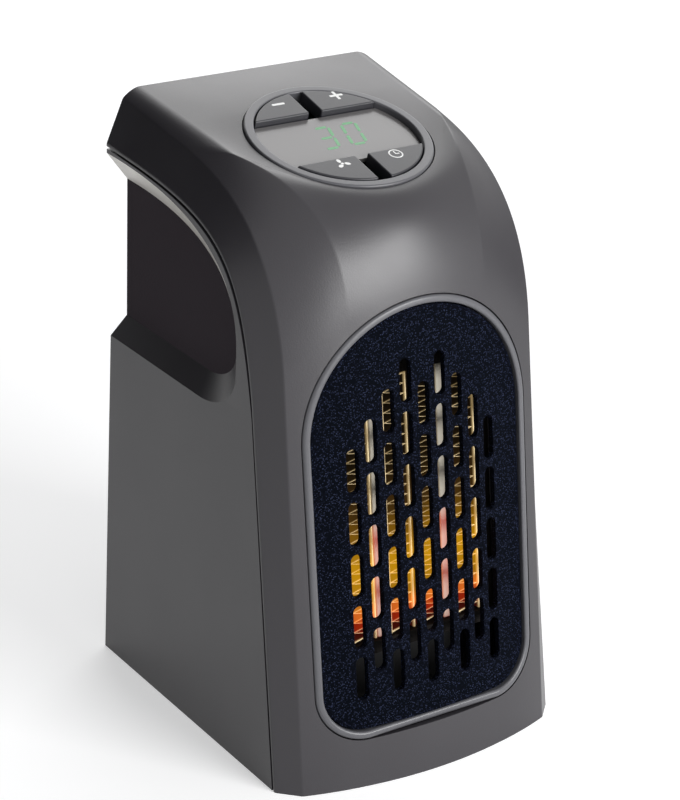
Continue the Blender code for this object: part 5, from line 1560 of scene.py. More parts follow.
@dataclass
class CoverMaker:
    """The back cover: intake slots with round ends, turret hole and screw seats."""

    form: BodyForm
    housing: HousingMaker
    thickness: float = 2.6 * MM
    fit: float = 0.5 * MM
    slot_half: float = 27.0 * MM
    slot_height: float = 2.6 * MM
    slot_pitch: float = 5.6 * MM
    slot_rows: int = 11
    slot_bottom: float = 15.0 * MM
    slot_bridge: float = 3.0 * MM
    turret_hole: float = 21.3 * MM
    turret_height: float = 112.0 * MM
    screw_head: float = 2.9 * MM
    screw_sink: float = 1.8 * MM
    standoff_x: float = 31.0 * MM
    standoff_heights: Flat = (95.4 * MM, 129.6 * MM)
    standoff_radius: float = 2.3 * MM
    standoff_length: float = 19.0 * MM
    edge_round: float = 0.25 * MM

    def outline(self) -> list[Flat]:
        """Trace the body at the back plane, from the base round over the top.

        Returns:
            The outline.
        """
        form, housing = self.form, self.housing
        slant = housing.mouth_half - housing.floor_half
        drop = (housing.floor_bottom - housing.mouth_bottom) / slant
        draft = (form.waist_half - form.base_half) / form.waist_height
        reach = form.base_half - housing.floor_half
        ledge = (housing.floor_bottom - reach * drop) / (1 + draft * drop)
        facet, crease = form.facet_line()[0], form.crease_line()[0]
        edge = form.shifted(form.seam_line(), form.lip)[0]
        right = [
            (form.base_half, 0.0),
            (form.base_half + draft * ledge, ledge),
            (housing.floor_half, housing.floor_bottom),
            (housing.floor_half, housing.floor_top),
            (form.wing_half, form.seam_back_z),
            (edge[0], edge[2]),
            (facet[0], facet[2]),
            (crease[0], crease[2]),
        ]
        return right + [(-x, z) for x, z in reversed(right)]

    def build(self) -> Piece:
        """Build the cover, in the record's frame.

        Returns:
            The cover.
        """
        form = self.form
        inner, outer = form.depth - self.thickness, form.depth
        start, end = inner - OVERRUN, outer + OVERRUN
        outline = shrink(self.outline(), WALL + self.fit)
        cover = Bench.prism("back_cover_skin", outline, inner, outer, flat_on_y)
        half_height = self.slot_height / 2
        half = (self.slot_half - self.slot_bridge / 2) / 2
        tools = []
        for row in range(self.slot_rows):
            middle = self.slot_bottom + row * self.slot_pitch + half_height
            for side in (-1, 1):
                slot = pill(side * (self.slot_bridge / 2 + half), middle, half, half_height)
                tools.append(Bench.prism("slot", slot, start, end, flat_on_y))
        hole = circle((0, self.turret_height), self.turret_hole, 96)
        tools.append(Bench.prism("turret_hole", hole, start, end, flat_on_y))
        sunk = outer - self.screw_sink
        for place in self.housing.boss_places():
            hole = circle(place, self.housing.screw_hole)
            seat = circle(place, self.screw_head)
            levels = ((hole, start), (hole, sunk), (seat, sunk), (seat, end))
            tools.append(Bench.loft("screw_seat", [flat_on_y(ring, depth) for ring, depth in levels]))
        Bench.blend(cover, Bench.gather("cover_cuts", tools), Blend.CUT)
        for x in (-self.standoff_x, self.standoff_x):
            for z in self.standoff_heights:
                outline = circle((x, z), self.standoff_radius)
                foot = inner - self.standoff_length
                post = Bench.prism("standoff", outline, foot, inner + FIT, flat_on_y)
                Bench.blend(cover, post, Blend.JOIN)
        return Bench.seat(cover, form.place(), 30.0, (self.edge_round, 2, 50.0))


@dataclass
class OutletMaker:
    """The arched outlet: satin bezel and bowed grille plate with staggered slots."""

    form: BodyForm
    arch: Arch
    bezel_width: float = 2.1 * MM
    bezel_proud: float = 0.4 * MM
    bezel_depth: float = 4.6 * MM
    bezel_round: float = 0.8 * MM
    plate_sink: float = 0.9 * MM
    plate_thickness: float = 1.8 * MM
    plate_slices: int = 40
    slot_width: float = 3.3 * MM
    slot_length: float = 11.8 * MM
    slot_pitch: float = 14.25 * MM
    slot_top: float = 107.7 * MM
    slot_margin: float = 2.2 * MM
    slot_crown_margin: float = 8.2 * MM
    column_pitch: float = 5.375 * MM
    columns: int = 9
    slot_round: float = 0.3 * MM

    def build_bezel(self) -> Piece:
        """Build the ring round the outlet, in the record's frame.

        Returns:
            The ring.
        """
        turn, front = self.bezel_round, -self.bezel_proud
        section = [(0.0, self.bezel_depth)]
        for start, u in ((180, turn), (270, self.bezel_width - turn)):
            section += arc((u, front + turn), turn, turn, start, start + 90, 5)
        section.append((self.bezel_width, self.bezel_depth))
        rings = []
        for margin, depth in section:
            rings.append([(x, self.form.fall(x) + depth, z) for x, z in self.arch.outline(margin)])
        bezel = Bench.loft("bezel_trim", rings, ring_shaped=True)
        return Bench.seat(bezel, self.form.front_plane(), 35.0)

    def slot_centres(self) -> list[Flat]:
        """Place the slots, staggered by half a pitch between columns.

        Returns:
            The middle of each slot.
        """
        places = []
        crown = self.arch.half - self.bezel_width - self.slot_crown_margin
        lowest = self.arch.bottom + self.bezel_width + self.slot_margin + self.slot_width
        middle = self.columns // 2
        for column in range(self.columns):
            x = (column - middle) * self.column_pitch
            top = self.slot_top + (column - middle) % 2 * self.slot_pitch / 2
            reach = math.sqrt(max(crown ** 2 - (abs(x) + self.slot_width / 2) ** 2, 0.0))
            while top - self.slot_length > lowest:
                if top < self.arch.spring + reach:
                    places.append((x, top - self.slot_length / 2))
                top -= self.slot_pitch
        return places

    def build_plate(self) -> Piece:
        """Build the grille plate, in the record's frame.

        Returns:
            The plate.
        """
        outline = self.arch.outline(self.bezel_width + FIT)
        near = self.plate_sink
        far = near + self.plate_thickness
        plate = Bench.prism("grille_plate", outline, near, far, flat_on_y)
        tools = []
        for x, z in self.slot_centres():
            slot = pill(x, z, self.slot_width / 2, self.slot_length / 2, 10)
            tools.append(Bench.prism("slot", slot, near - OVERRUN, far + OVERRUN, flat_on_y))
        Bench.blend(plate, Bench.gather("slots", tools), Blend.CUT)

        def front_rim(edge: Edge) -> bool:
            """Tell whether an edge is a rim on the plate's front."""
            flat = all(abs(end.co.y - near) < MERGE for end in edge.verts)
            return flat and len(edge.link_faces) == 2 and edge.calc_face_angle(0.0) > 1.0

        Bench.bevel_edges(plate, front_rim, self.slot_round, 2)
        half = self.arch.half
        for k in range(1, self.plate_slices):
            x = -half + 2 * half * k / self.plate_slices
            Bench.slice(plate, (x, 0, 0), (1, 0, 0), False)
        Bench.reshape(plate, lambda place: (place.x, place.y + self.form.fall(place.x), place.z))
        return Bench.seat(plate, self.form.front_plane(), 25.0)


@dataclass
class ElementMaker:
    """The heating element behind the grille: ceramic bars between packs of folded fins."""

    form: BodyForm
    depth: float = 8.0 * MM
    thickness: float = 12.0 * MM
    middle: float = 73.5 * MM
    height: float = 71.0 * MM
    bar_width: float = 3.8 * MM
    pack_width: float = 8.0 * MM
    strip: float = 0.6 * MM
    sheet: float = 0.4 * MM
    folds: int = 51
    bar_round: float = 0.5 * MM
    unit_gap: float = 1.0 * MM

    def bar_places(self) -> list[float]:
        """Return the middle of each ceramic bar across the element."""
        unit = 2 * self.pack_width + self.bar_width + 2 * FIT
        return [side * (unit + self.unit_gap) / 2 for side in (-1, 1)]

    def pack_places(self) -> list[float]:
        """Return the middle of each fin pack across the element."""
        offset = (self.bar_width + self.pack_width) / 2 + FIT
        return sorted(middle + side * offset for middle in self.bar_places() for side in (-1, 1))

    def build_bar(self, number: int, x: float) -> Piece:
        """Return one ceramic bar, in the record's frame.

        Args:
            number: its number from the left.
            x: its middle.

        Returns:
            The bar.
        """
        low = (x - self.bar_width / 2, self.depth, self.middle - self.height / 2)
        high = (x + self.bar_width / 2, self.depth + self.thickness, self.middle + self.height / 2)
        bar = Bench.block(f"ceramic_heater_{number}", low, high)
        return Bench.seat(bar, self.form.front_plane(), 30.0, (self.bar_round, 3))

    def build_pack(self, number: int, x: float) -> Piece:
        """Return one pack of fins, in the record's frame.

        Args:
            number: its number from the left.
            x: its middle.

        Returns:
            The pack.
        """
        low = self.middle - self.height / 2
        half = self.pack_width / 2
        near, far = self.depth, self.depth + self.thickness
        parts = []
        for side in (-1, 1):
            edges = sorted((x + side * half, x + side * (half - self.strip)))
            strip = Bench.block("strip", (edges[0], near, low), (edges[1], far, low + self.height))
            parts.append(Bench.soften(strip, self.strip / 4, 1))
        Bench.rest()
        bpy.ops.mesh.primitive_grid_add(x_subdivisions=self.folds, y_subdivisions=1, size=1.0)
        ribbon = bpy.context.object
        reach = half - self.strip - self.sheet / 2
        step = (self.height - 2 * self.sheet) / self.folds

        def crease(place: Vector) -> Point:
            """Find a corner's place on the folded ribbon.

            Args:
                place: its place on the flat grid.

            Returns:
                Its new place.
            """
            fold = round((place.x + 0.5) * self.folds)
            side = 1 if fold % 2 else -1
            depth = near + FIT if place.y < 0 else far - FIT
            return (x + side * reach, depth, low + self.sheet + fold * step)

        Bench.reshape(ribbon, crease)
        Bench.modify(ribbon, "SOLIDIFY", thickness=self.sheet, offset=0.0)
        parts.append(ribbon)
        pack = Bench.gather(f"folded_fins_{number}", parts)
        return Bench.seat(pack, self.form.front_plane())


@dataclass
class PanelMaker:
    """The control panel: ring, window, digits, four buttons and their marks."""

    form: BodyForm
    radius: float = 25.1 * MM
    bore: float = 22.4 * MM
    proud: float = 0.7 * MM
    depth: float = 5.4 * MM
    flange: float = 27.4 * MM
    flange_thickness: float = 1.4 * MM
    ring_round: float = 0.5 * MM
    window_level: float = -0.9 * MM
    window_thickness: float = 1.2 * MM
    back_chord: float = 11.6 * MM
    front_chord: float = 10.4 * MM
    gap_half: float = 1.9 * MM
    button_proud: float = 0.9 * MM
    button_thickness: float = 3.4 * MM
    button_round: float = 0.45 * MM
    mark_height: float = 0.03 * MM
    digit_width: float = 4.3 * MM
    digit_height: float = 9.8 * MM
    digit_low: float = -3.3 * MM
    digit_slant_share: float = 0.24
    digit_stroke: float = 0.95 * MM
    digit_starts: tuple[tuple[str, float], ...] = (("3", -5.9 * MM), ("0", 2.5 * MM))
    digit_gap_share: float = 0.35
    window_round: float = 0.1 * MM
    stroke_long: float = 2.0 * MM
    stroke_short: float = 0.42 * MM
    minus_place: Flat = (-7.9 * MM, 17.9 * MM)
    plus_place: Flat = (10.1 * MM, 17.5 * MM)
    fan_place: Flat = (-7.5 * MM, -13.1 * MM)
    fan_hub: float = 0.42 * MM
    blade_place: Flat = (1.35 * MM, 0.32 * MM)
    blade_half: Flat = (0.85 * MM, 0.55 * MM)
    clock_place: Flat = (9.1 * MM, -13.1 * MM)
    clock_outer: float = 2.0 * MM
    clock_inner: float = 1.62 * MM
    hand_half: float = 0.17 * MM
    minute_hand: Flat = (0.55 * MM, 0.75 * MM)
    hour_hand: Flat = (0.5 * MM, 0.68 * MM)

    def build_ring(self) -> Piece:
        """Build the ring round the controls, in the record's frame.

        Returns:
            The ring.
        """
        turn = self.ring_round
        top = self.proud
        section = [
            (self.bore, -self.depth),
            (self.flange, -self.depth),
            (self.flange, self.flange_thickness - self.depth),
            (self.radius, self.flange_thickness - self.depth),
        ]
        section += arc((self.radius - turn, top - turn), turn, turn, 0, 90, 5)
        section += arc((self.bore + turn, top - turn), turn, turn, 90, 180, 5)
        ring = Bench.turn("control_ring_trim", section, 128)
        return Bench.seat(ring, self.form.panel_plane())

    def build_window(self) -> Piece:
        """Build the display window, in the record's frame.

        Returns:
            The window.
        """
        radius = self.bore - FIT
        start = math.degrees(math.asin((FIT - self.front_chord) / radius))
        end = math.degrees(math.asin((self.back_chord - FIT) / radius))
        outline = arc((0, 0), radius, radius, start, end, 24)
        outline += [(-x, y) for x, y in reversed(outline)]
        top = self.window_level
        window = Bench.prism("display_pane", outline, top - self.window_thickness, top)
        return Bench.seat(window, self.form.panel_plane(), 30.0, (self.window_round, 2))

    def button_outline(self, side_x: int, side_y: int) -> list[Flat]:
        """Trace one half of a disc segment beyond its chord.

        Args:
            side_x: -1 for the left half, 1 for the right.
            side_y: 1 behind the window, -1 in front of it.

        Returns:
            The outline.
        """
        chord = self.back_chord if side_y > 0 else self.front_chord
        radius = self.bore - FIT
        start = math.degrees(math.asin(chord / radius))
        end = math.degrees(math.acos(self.gap_half / radius))
        points = arc((0, 0), radius, radius, start, end, 24)
        points.append((self.gap_half, chord))
        return [(side_x * x, side_y * y) for x, y in points]

    def build_button(self, name: str, side_x: int, side_y: int) -> Piece:
        """Return one button cap with soft edges, in the record's frame.

        Args:
            name: the button's name.
            side_x: -1 on the left, 1 on the right.
            side_y: 1 for the pair at the back, -1 for the pair in front.

        Returns:
            The cap.
        """
        top = self.button_proud
        outline = self.button_outline(side_x, side_y)
        cap = Bench.prism(f"cap_{name}", outline, top - self.button_thickness, top)

        def rim(edge: Edge) -> bool:
            """Tell whether an edge lies round the top or down a corner."""
            ends = [end.co.z > top - MERGE for end in edge.verts]
            return all(ends) or (any(ends) and edge.calc_face_angle(0.0) > 0.6)

        Bench.bevel_edges(cap, rim, self.button_round, 4)
        return Bench.seat(cap, self.form.panel_plane(), 35.0)

    def mark(self, name: str, outlines: Sequence[Sequence[Flat]], level: float) -> Piece:
        """Make a printed mark of flat outlines.

        Args:
            name: its name.
            outlines: its strokes.
            level: its height above the panel plane.

        Returns:
            The mark.
        """
        parts = [Bench.prism("stroke", outline, level, level + self.mark_height) for outline in outlines]
        piece = Bench.gather(name, parts) if len(parts) > 1 else parts[0]
        piece.name = name
        return Bench.settle(piece, self.form.panel_plane())

    def build_minus(self) -> Piece:
        """Return the minus sign."""
        outline = pill(*self.minus_place, self.stroke_long, self.stroke_short)
        return self.mark("mark_minus", [outline], self.button_proud)

    def build_plus(self) -> Piece:
        """Build the plus sign.

        Returns:
            The sign.
        """
        u, v = self.plus_place
        long, short = self.stroke_long, self.stroke_short
        corner = [(short, short), (short, long), (-short, long), (-short, short), (-long, short),
                  (-long, -short)]
        outline = [(u + a, v + b) for a, b in corner + [(-a, -b) for a, b in corner]]
        return self.mark("mark_plus", [outline], self.button_proud)

    def build_fan_mark(self) -> Piece:
        """Build a small three-bladed fan, the general sign for a fan's speed.

        Returns:
            The sign.
        """
        u, v = self.fan_place
        outlines = [circle(self.fan_place, self.fan_hub)]
        for blade in range(3):
            turn = math.radians(90 + 120 * blade)
            c, s = math.cos(turn), math.sin(turn)
            leaf = arc(self.blade_place, *self.blade_half, 0, 345, 23)
            outlines.append([(u + c * a - s * b, v + s * a + c * b) for a, b in leaf])
        return self.mark("mark_fan", outlines, self.button_proud)

    def build_clock_mark(self) -> Piece:
        """Build a small clock face, the general sign for a timer.

        Returns:
            The sign.
        """
        (u, v), low = self.clock_place, self.button_proud
        outer, inner = (circle(self.clock_place, r, 48) for r in (self.clock_outer, self.clock_inner))
        high = low + self.mark_height
        levels = ((outer, low), (outer, high), (inner, high), (inner, low))
        face = Bench.loft("clock_face", [flat_on_z(ring, z) for ring, z in levels], ring_shaped=True)
        Bench.settle(face, self.form.panel_plane())
        wide = self.hand_half
        (minute_off, minute_half), (hour_off, hour_half) = self.minute_hand, self.hour_hand
        outlines = [pill(u, v + minute_off, wide, minute_half), pill(u + hour_off, v, hour_half, wide)]
        return Bench.gather("mark_clock", [face, self.mark("hands", outlines, low)])

    def build_digits(self) -> Piece:
        """Build the two lit seven-segment digits.

        Returns:
            The digits, as one piece.
        """
        lit = {"3": "abcdg", "0": "abcdef"}
        outlines = []
        for digit, left in self.digit_starts:
            for segment in lit[digit]:
                outlines.append(self.segment(segment, left))
        return self.mark("display_digits", outlines, self.window_level)

    def segment(self, name: str, left: float) -> list[Flat]:
        """Return the slanted outline of one segment.

        Args:
            name: a to g, as on any seven-segment display.
            left: the digit's lower left corner.

        Returns:
            The outline.
        """
        wide, tall, stroke = self.digit_width, self.digit_height, self.digit_stroke
        half, gap = stroke / 2, stroke * self.digit_gap_share
        spots = {
            "a": (0, tall, wide, tall), "g": (0, tall / 2, wide, tall / 2), "d": (0, 0, wide, 0),
            "f": (0, tall / 2, 0, tall), "e": (0, 0, 0, tall / 2),
            "b": (wide, tall / 2, wide, tall), "c": (wide, 0, wide, tall / 2),
        }
        u1, v1, u2, v2 = spots[name]
        ends = ((u1, v1), (u2, v2)) if v1 == v2 else ((v1, u1), (v2, u2))
        (start, level), (end, _) = ends
        start, end = start + gap, end - gap
        box = [(start, level), (start + half, level + half), (end - half, level + half),
               (end, level), (end - half, level - half), (start + half, level - half)]
        if v1 != v2:
            box = [(u, v) for v, u in box]
        return [(left + u + self.digit_slant_share * v, self.digit_low + v) for u, v in box]


@dataclass
class PlugMaker:
    """The plug turret and its two round pins."""

    form: BodyForm
    height: float = 112.0 * MM
    inner_radius: float = 15.0 * MM
    flange: float = 24.4 * MM
    disc: float = 21.0 * MM
    levels: tuple[float, ...] = (-7.7 * MM, -5.3 * MM, -2.9 * MM, 0.6 * MM)
    plug_radius: float = 18.4 * MM
    tip_radius: float = 17.7 * MM
    length: float = 16.0 * MM
    edge_round: float = 1.2 * MM
    notch_half: float = 3.0 * MM
    notch_depth: float = 3.2 * MM
    pin_radius: float = 2.4 * MM
    pin_spacing: float = 19.0 * MM
    pin_length: float = 19.0 * MM
    pin_foot: float = -9.2 * MM
    pin_round: float = 1.6 * MM

    def stand(self, x: float = 0.0) -> Matrix:
        """Return the frame on the back plane in which the turret turns about Z."""
        spot = Matrix.Translation((x, self.form.depth, self.height))
        return self.form.place() @ spot @ Matrix.Rotation(-math.pi / 2, 4, "X")

    def build_turret(self) -> Piece:
        """Build the turret, in the record's frame.

        Returns:
            The turret.
        """
        nose, front, back, disc = self.levels
        turn = self.edge_round
        section = [
            (0, nose), (self.inner_radius, nose), (self.inner_radius, front), (self.flange, front),
            (self.flange, back), (self.disc, back), (self.disc, disc - turn / 4),
            (self.disc - turn / 4, disc), (self.plug_radius, disc),
        ]
        section += arc((self.tip_radius - turn, self.length - turn), turn, turn, 0, 90, 6)
        section.append((0, self.length))
        turret = Bench.turn("turret_body", section, 96)
        reach = self.plug_radius + OVERRUN
        end = self.length + OVERRUN
        for side in (-1, 1):
            edges = sorted((side * (self.plug_radius - self.notch_depth), side * reach))
            low = (-self.notch_half, edges[0], disc + FIT)
            high = (self.notch_half, edges[1], end)
            Bench.blend(turret, Bench.block("notch", low, high), Blend.CUT)
            bore = circle((side * self.pin_spacing / 2, 0), self.pin_radius + FIT, 32)
            Bench.blend(turret, Bench.prism("pin_hole", bore, nose - OVERRUN, end), Blend.CUT)
        return Bench.seat(turret, self.stand())

    def build_pin(self, name: str, side: int) -> Piece:
        """Build one pin with a round tip, in the record's frame.

        Args:
            name: its name.
            side: -1 or 1, which side of the turret.

        Returns:
            The pin.
        """
        end = self.length + self.pin_length
        turn = self.pin_round
        section = [(0, self.pin_foot), (self.pin_radius, self.pin_foot)]
        section += arc((self.pin_radius - turn, end - turn), turn, turn, 0, 90, 8)
        section.append((0, end))
        pin = Bench.turn(name, section, 40)
        return Bench.seat(pin, self.stand(side * self.pin_spacing / 2), 35.0)


@dataclass
class ScrewMaker:
    """The pan-head screws of the back cover, with cross recesses."""

    housing: HousingMaker
    radius: float = 1.3 * MM
    head: float = 2.6 * MM
    head_height: float = 1.5 * MM
    length: float = 8.7 * MM
    cross_long: float = 1.5 * MM
    cross_short: float = 0.35 * MM
    cross_depth: float = 0.9 * MM
    head_round: float = 0.7 * MM

    def build(self, number: int, place: Flat) -> Piece:
        """Return one screw, in the record's frame.

        Args:
            number: the screw's number.
            place: where it sits in the back plane.

        Returns:
            The screw.
        """
        foot, turn = -self.length, self.head_round
        section = [(0, foot), (self.radius / 2, foot), (self.radius, self.radius - self.length),
                   (self.radius, 0), (self.head, 0), (self.head, self.head_height / 2)]
        section += arc((self.head - turn, self.head_height - turn), turn, turn, 15, 90, 5)
        section.append((0, self.head_height))
        screw = Bench.turn(f"cover_screw_head_{number}", section, 32)
        floor = self.head_height - self.cross_depth
        for long, short in ((self.cross_long, self.cross_short), (self.cross_short, self.cross_long)):
            tool = Bench.block("cross", (-long, -short, floor), (long, short, self.head_height + OVERRUN))
            Bench.blend(screw, tool, Blend.CUT)
        form = self.housing.form
        spot = Matrix.Translation((place[0], form.depth - self.head_height, place[1]))
        upright = Matrix.Rotation(-math.pi / 2, 4, "X")
        return Bench.seat(screw, form.place() @ spot @ upright, 35.0)


@dataclass
class RockerMaker:
    """The main rocker switch: its case, its key and the marks on the key."""

    form: BodyForm
    housing: HousingMaker
    bezel_half_y: float = 7.7 * MM
    bezel_half_z: float = 10.7 * MM
    bezel_thickness: float = 1.6 * MM
    case_half_y: float = 6.5 * MM
    case_half_z: float = 9.6 * MM
    case_depth: float = 15.0 * MM
    rim: float = 1.5 * MM
    well: float = 6.0 * MM
    pivot_depth: float = 1.6 * MM
    crown: float = 2.6 * MM
    swing: float = math.radians(10.0)
    mark_height: float = 0.04 * MM
    mark_seat: float = 4.6 * MM
    mark_half: float = 1.5 * MM
    mark_stroke: float = 0.6 * MM
    ring_bore: float = 1.0 * MM
    bezel_corner: float = 1.2 * MM
    case_round: float = 0.4 * MM
    key_round: float = 0.3 * MM

    def face(self) -> float:
        """Return the x on which the bezel sits."""
        form = self.form
        low = self.housing.switch_z - self.bezel_half_z
        return form.base_half + (form.waist_half - form.base_half) * low / form.waist_height + FIT

    def stand(self, x: float = 0.0) -> Matrix:
        """Return the switch's frame, with its middle on the pivot's line."""
        return self.form.place() @ Matrix.Translation((x, self.housing.switch_y, self.housing.switch_z))

    def build_case(self) -> Piece:
        """Build the case with its bezel, in the record's frame.

        Returns:
            The case.
        """
        face = self.face()
        outer = face + self.bezel_thickness
        outline = rounded_box(self.bezel_half_y, self.bezel_half_z, self.bezel_corner)
        case = Bench.prism("rocker_frame", outline, face, outer, flat_on_x)
        body = Bench.block("case", (face - self.case_depth, -self.case_half_y, -self.case_half_z),
                           (face + FIT, self.case_half_y, self.case_half_z))
        Bench.blend(case, body, Blend.JOIN)
        half_y, half_z = self.case_half_y - self.rim, self.case_half_z - self.rim
        low, high = (outer - self.well, -half_y, -half_z), (outer + OVERRUN, half_y, half_z)
        Bench.blend(case, Bench.block("well", low, high), Blend.CUT)
        return Bench.seat(case, self.stand(), 30.0, (self.case_round, 3, 50.0))

    def key_stand(self) -> Matrix:
        """Return the tipped key's frame."""
        pivot = self.face() + self.bezel_thickness - self.pivot_depth
        return self.stand(pivot) @ Matrix.Rotation(self.swing, 4, "Y")

    def build_key(self) -> Piece:
        """Build the hollowed rocker key, in the record's frame.

        Returns:
            The key.
        """
        half_y = self.case_half_y - self.rim - FIT
        half_z = self.case_half_z - self.rim - 2 * FIT
        dip = math.tan(self.swing) * half_z
        outline = [(-self.pivot_depth, FIT - half_z)]
        for k in range(17):
            z = half_z * (k / 8 - 1)
            outline.append((self.crown - dip * (1 - (z / half_z) ** 2), z))
        outline += [(-self.pivot_depth, half_z - FIT), (-self.pivot_depth - 2 * FIT, 0)]
        key = Bench.prism("rocker_cap", outline, -half_y, half_y, flat_on_y)
        return Bench.seat(key, self.key_stand(), 30.0, (self.key_round, 3, 50.0))

    def build_marks(self) -> Piece:
        """Build the on and off signs on the key, in the record's frame.

        Returns:
            The signs, as one piece.
        """
        half_z = self.case_half_z - self.rim - 2 * FIT
        dip = math.tan(self.swing) * half_z
        seat, half, thick = self.mark_seat, self.mark_half, self.mark_height
        level = self.crown - dip * (1 - (seat / half_z) ** 2)
        slope = 2 * dip * seat / half_z ** 2
        bar = Bench.prism("bar", pill(0, 0, self.mark_stroke / 2, half), 0.0, thick, flat_on_x)
        outer, inner = (circle((0, 0), radius, 32) for radius in (half, self.ring_bore))
        levels = ((outer, 0.0), (outer, thick), (inner, thick), (inner, 0.0))
        ring = Bench.loft("ring", [flat_on_x(edge, x) for edge, x in levels], ring_shaped=True)
        for piece, side in ((bar, 1), (ring, -1)):
            lean = Matrix.Rotation(math.atan(slope) * side, 4, "Y")
            lift = Matrix.Translation((level + FIT / 4, 0, side * seat))
            Bench.settle(piece, self.key_stand() @ lift @ lean)
        return Bench.gather("rocker_marks", [bar, ring])


@dataclass
class Studio:
    """The floor, the lamps, the world and the camera of the photograph."""

    azimuth: float = math.radians(34.784)
    elevation: float = math.radians(24.114)
    roll: float = math.radians(2.248)
    eye: Point = (-0.37047, -0.53414, 0.37730)
    focal_share: float = 2638.9 / 680
    middle: Point = (0.0, 0.0, 0.09)
    floor_size: float = 12.0
    floor_tone: float = 0.8
    floor_lift: float = 0.45
    card_tone: float = 0.01
    world_light: float = 0.5
    world_white: float = 0.95
    world_tint: Colour = (0.97, 0.98, 1.0, 1)
    white: Colour = (1, 1, 1, 1)

    def build(self) -> None:
        """Set the whole studio up."""
        scene = bpy.context.scene
        scene.view_settings.view_transform = "Standard"
        self.add_camera(scene)
        self.add_floor()
        self.add_world(scene)
        self.add_lamp("back softbox", (0.705, 0.902, 0.805), 1.0, 1.8)
        self.add_lamp("front softbox", (0.28, -0.814, 0.353), 0.5, 10.5)
        self.add_card("black flag", (-0.61, 0.50, 0.62), (1.35, 1.35), 0.0)
        side = self.add_card("grey side card", (0.386, 0.104, 0.09), (0.6, 0.18), 0.3)
        side.visible_diffuse = False
        side.visible_shadow = False

    def add_camera(self, scene: bpy.types.Scene) -> None:
        """Place the camera where the photograph was taken from.

        Args:
            scene: the scene.
        """
        lean, turn = self.elevation, self.azimuth
        level = math.cos(lean)
        back = Vector((-math.sin(turn) * level, -math.cos(turn) * level, math.sin(lean)))
        right = Vector((math.cos(turn), -math.sin(turn), 0))
        up = back.cross(right)
        c, s = math.cos(self.roll), math.sin(self.roll)
        axes = (right * c + up * s, up * c - right * s, back)
        camera = bpy.data.cameras.new("photograph camera")
        camera.sensor_fit = "HORIZONTAL"
        camera.lens = camera.sensor_width * self.focal_share
        camera.clip_start = 0.01
        piece = bpy.data.objects.new("photograph camera", camera)
        turned = Matrix([[axis[k] for axis in axes] for k in range(3)]).to_4x4()
        piece.matrix_world = Matrix.Translation(self.eye) @ turned
        scene.collection.objects.link(piece)
        scene.camera = piece

    @staticmethod
    def background_rays(wires: Wires) -> Socket:
        """Return a socket that is 1 for camera, glossy and transmission rays.

        Args:
            wires: those of a world or a material.

        Returns:
            The socket.
        """
        path = wires.add("LightPath").outputs
        seen = wires.math("MAXIMUM", path["Is Camera Ray"], path["Is Glossy Ray"])
        return wires.math("MAXIMUM", seen, path["Is Transmission Ray"])

    def add_paper(self, piece: Piece, name: str, tone: float,
                  roughness: float) -> tuple[Wires, Node]:
        """Give a studio piece a matt grey finish that can shine white.

        Args:
            piece: the piece.
            name: the material's name.
            tone: its grey, 0 to 1.
            roughness: how matt it is.

        Returns:
            The material's wires and its shader.
        """
        material = bpy.data.materials.new(name)
        material.use_nodes = True
        wires = Wires(material.node_tree)
        shader = wires.tree.nodes["Principled BSDF"]
        wires.feed(shader, {
            "Base Color": (tone, tone, tone, 1), "Roughness": roughness,
            "Specular IOR Level": 0.0, "Emission Color": self.white,
        })
        piece.data.materials.append(material)
        return wires, shader

    def add_floor(self) -> None:
        """Lay a wide pale floor that the camera and reflections see as nearly white."""
        Bench.rest()
        bpy.ops.mesh.primitive_plane_add(size=self.floor_size, location=(0, 0, 0))
        floor = bpy.context.object
        floor.name = "studio_floor"
        wires, shader = self.add_paper(floor, "pale studio floor", self.floor_tone, 0.9)
        glow = wires.math("MULTIPLY", self.background_rays(wires), self.floor_lift)
        wires.feed(shader, {"Emission Strength": glow})

    def add_world(self, scene: bpy.types.Scene) -> None:
        """Light the scene softly from all round, and show a pale background.

        Args:
            scene: the scene.
        """
        world = bpy.data.worlds.new("studio")
        world.use_nodes = True
        scene.world = world
        wires = Wires(world.node_tree)
        nodes = wires.tree.nodes
        wires.feed(nodes["Background"], {"Color": self.world_tint, "Strength": self.world_light})
        pale = wires.add("Background", {"Color": self.white, "Strength": self.world_white})
        mix = wires.add("MixShader", {
            "Fac": self.background_rays(wires),
            1: nodes["Background"].outputs["Background"],
            2: pale.outputs["Background"],
        })
        wires.feed(nodes["World Output"], {"Surface": mix.outputs["Shader"]})

    def face_heater(self, piece: Piece, place: Point) -> None:
        """Put a studio piece at a place, turned to the middle of the heater."""
        piece.location = place
        aim = Vector(self.middle) - Vector(place)
        piece.rotation_euler = aim.to_track_quat("-Z", "Y").to_euler()

    def add_lamp(self, name: str, place: Point, size: float, radiance: float) -> None:
        """Hang a square soft lamp that looks at the heater.

        Args:
            name: the lamp's name.
            place: where it hangs, in metres.
            size: its side.
            radiance: how bright its face is, where 1 is white paper in full light.
        """
        lamp = bpy.data.lights.new(name, "AREA")
        lamp.shape = "SQUARE"
        lamp.size = size
        lamp.energy = radiance * math.pi * size ** 2
        piece = bpy.data.objects.new(name, lamp)
        piece.visible_camera = False
        self.face_heater(piece, place)
        bpy.context.scene.collection.objects.link(piece)

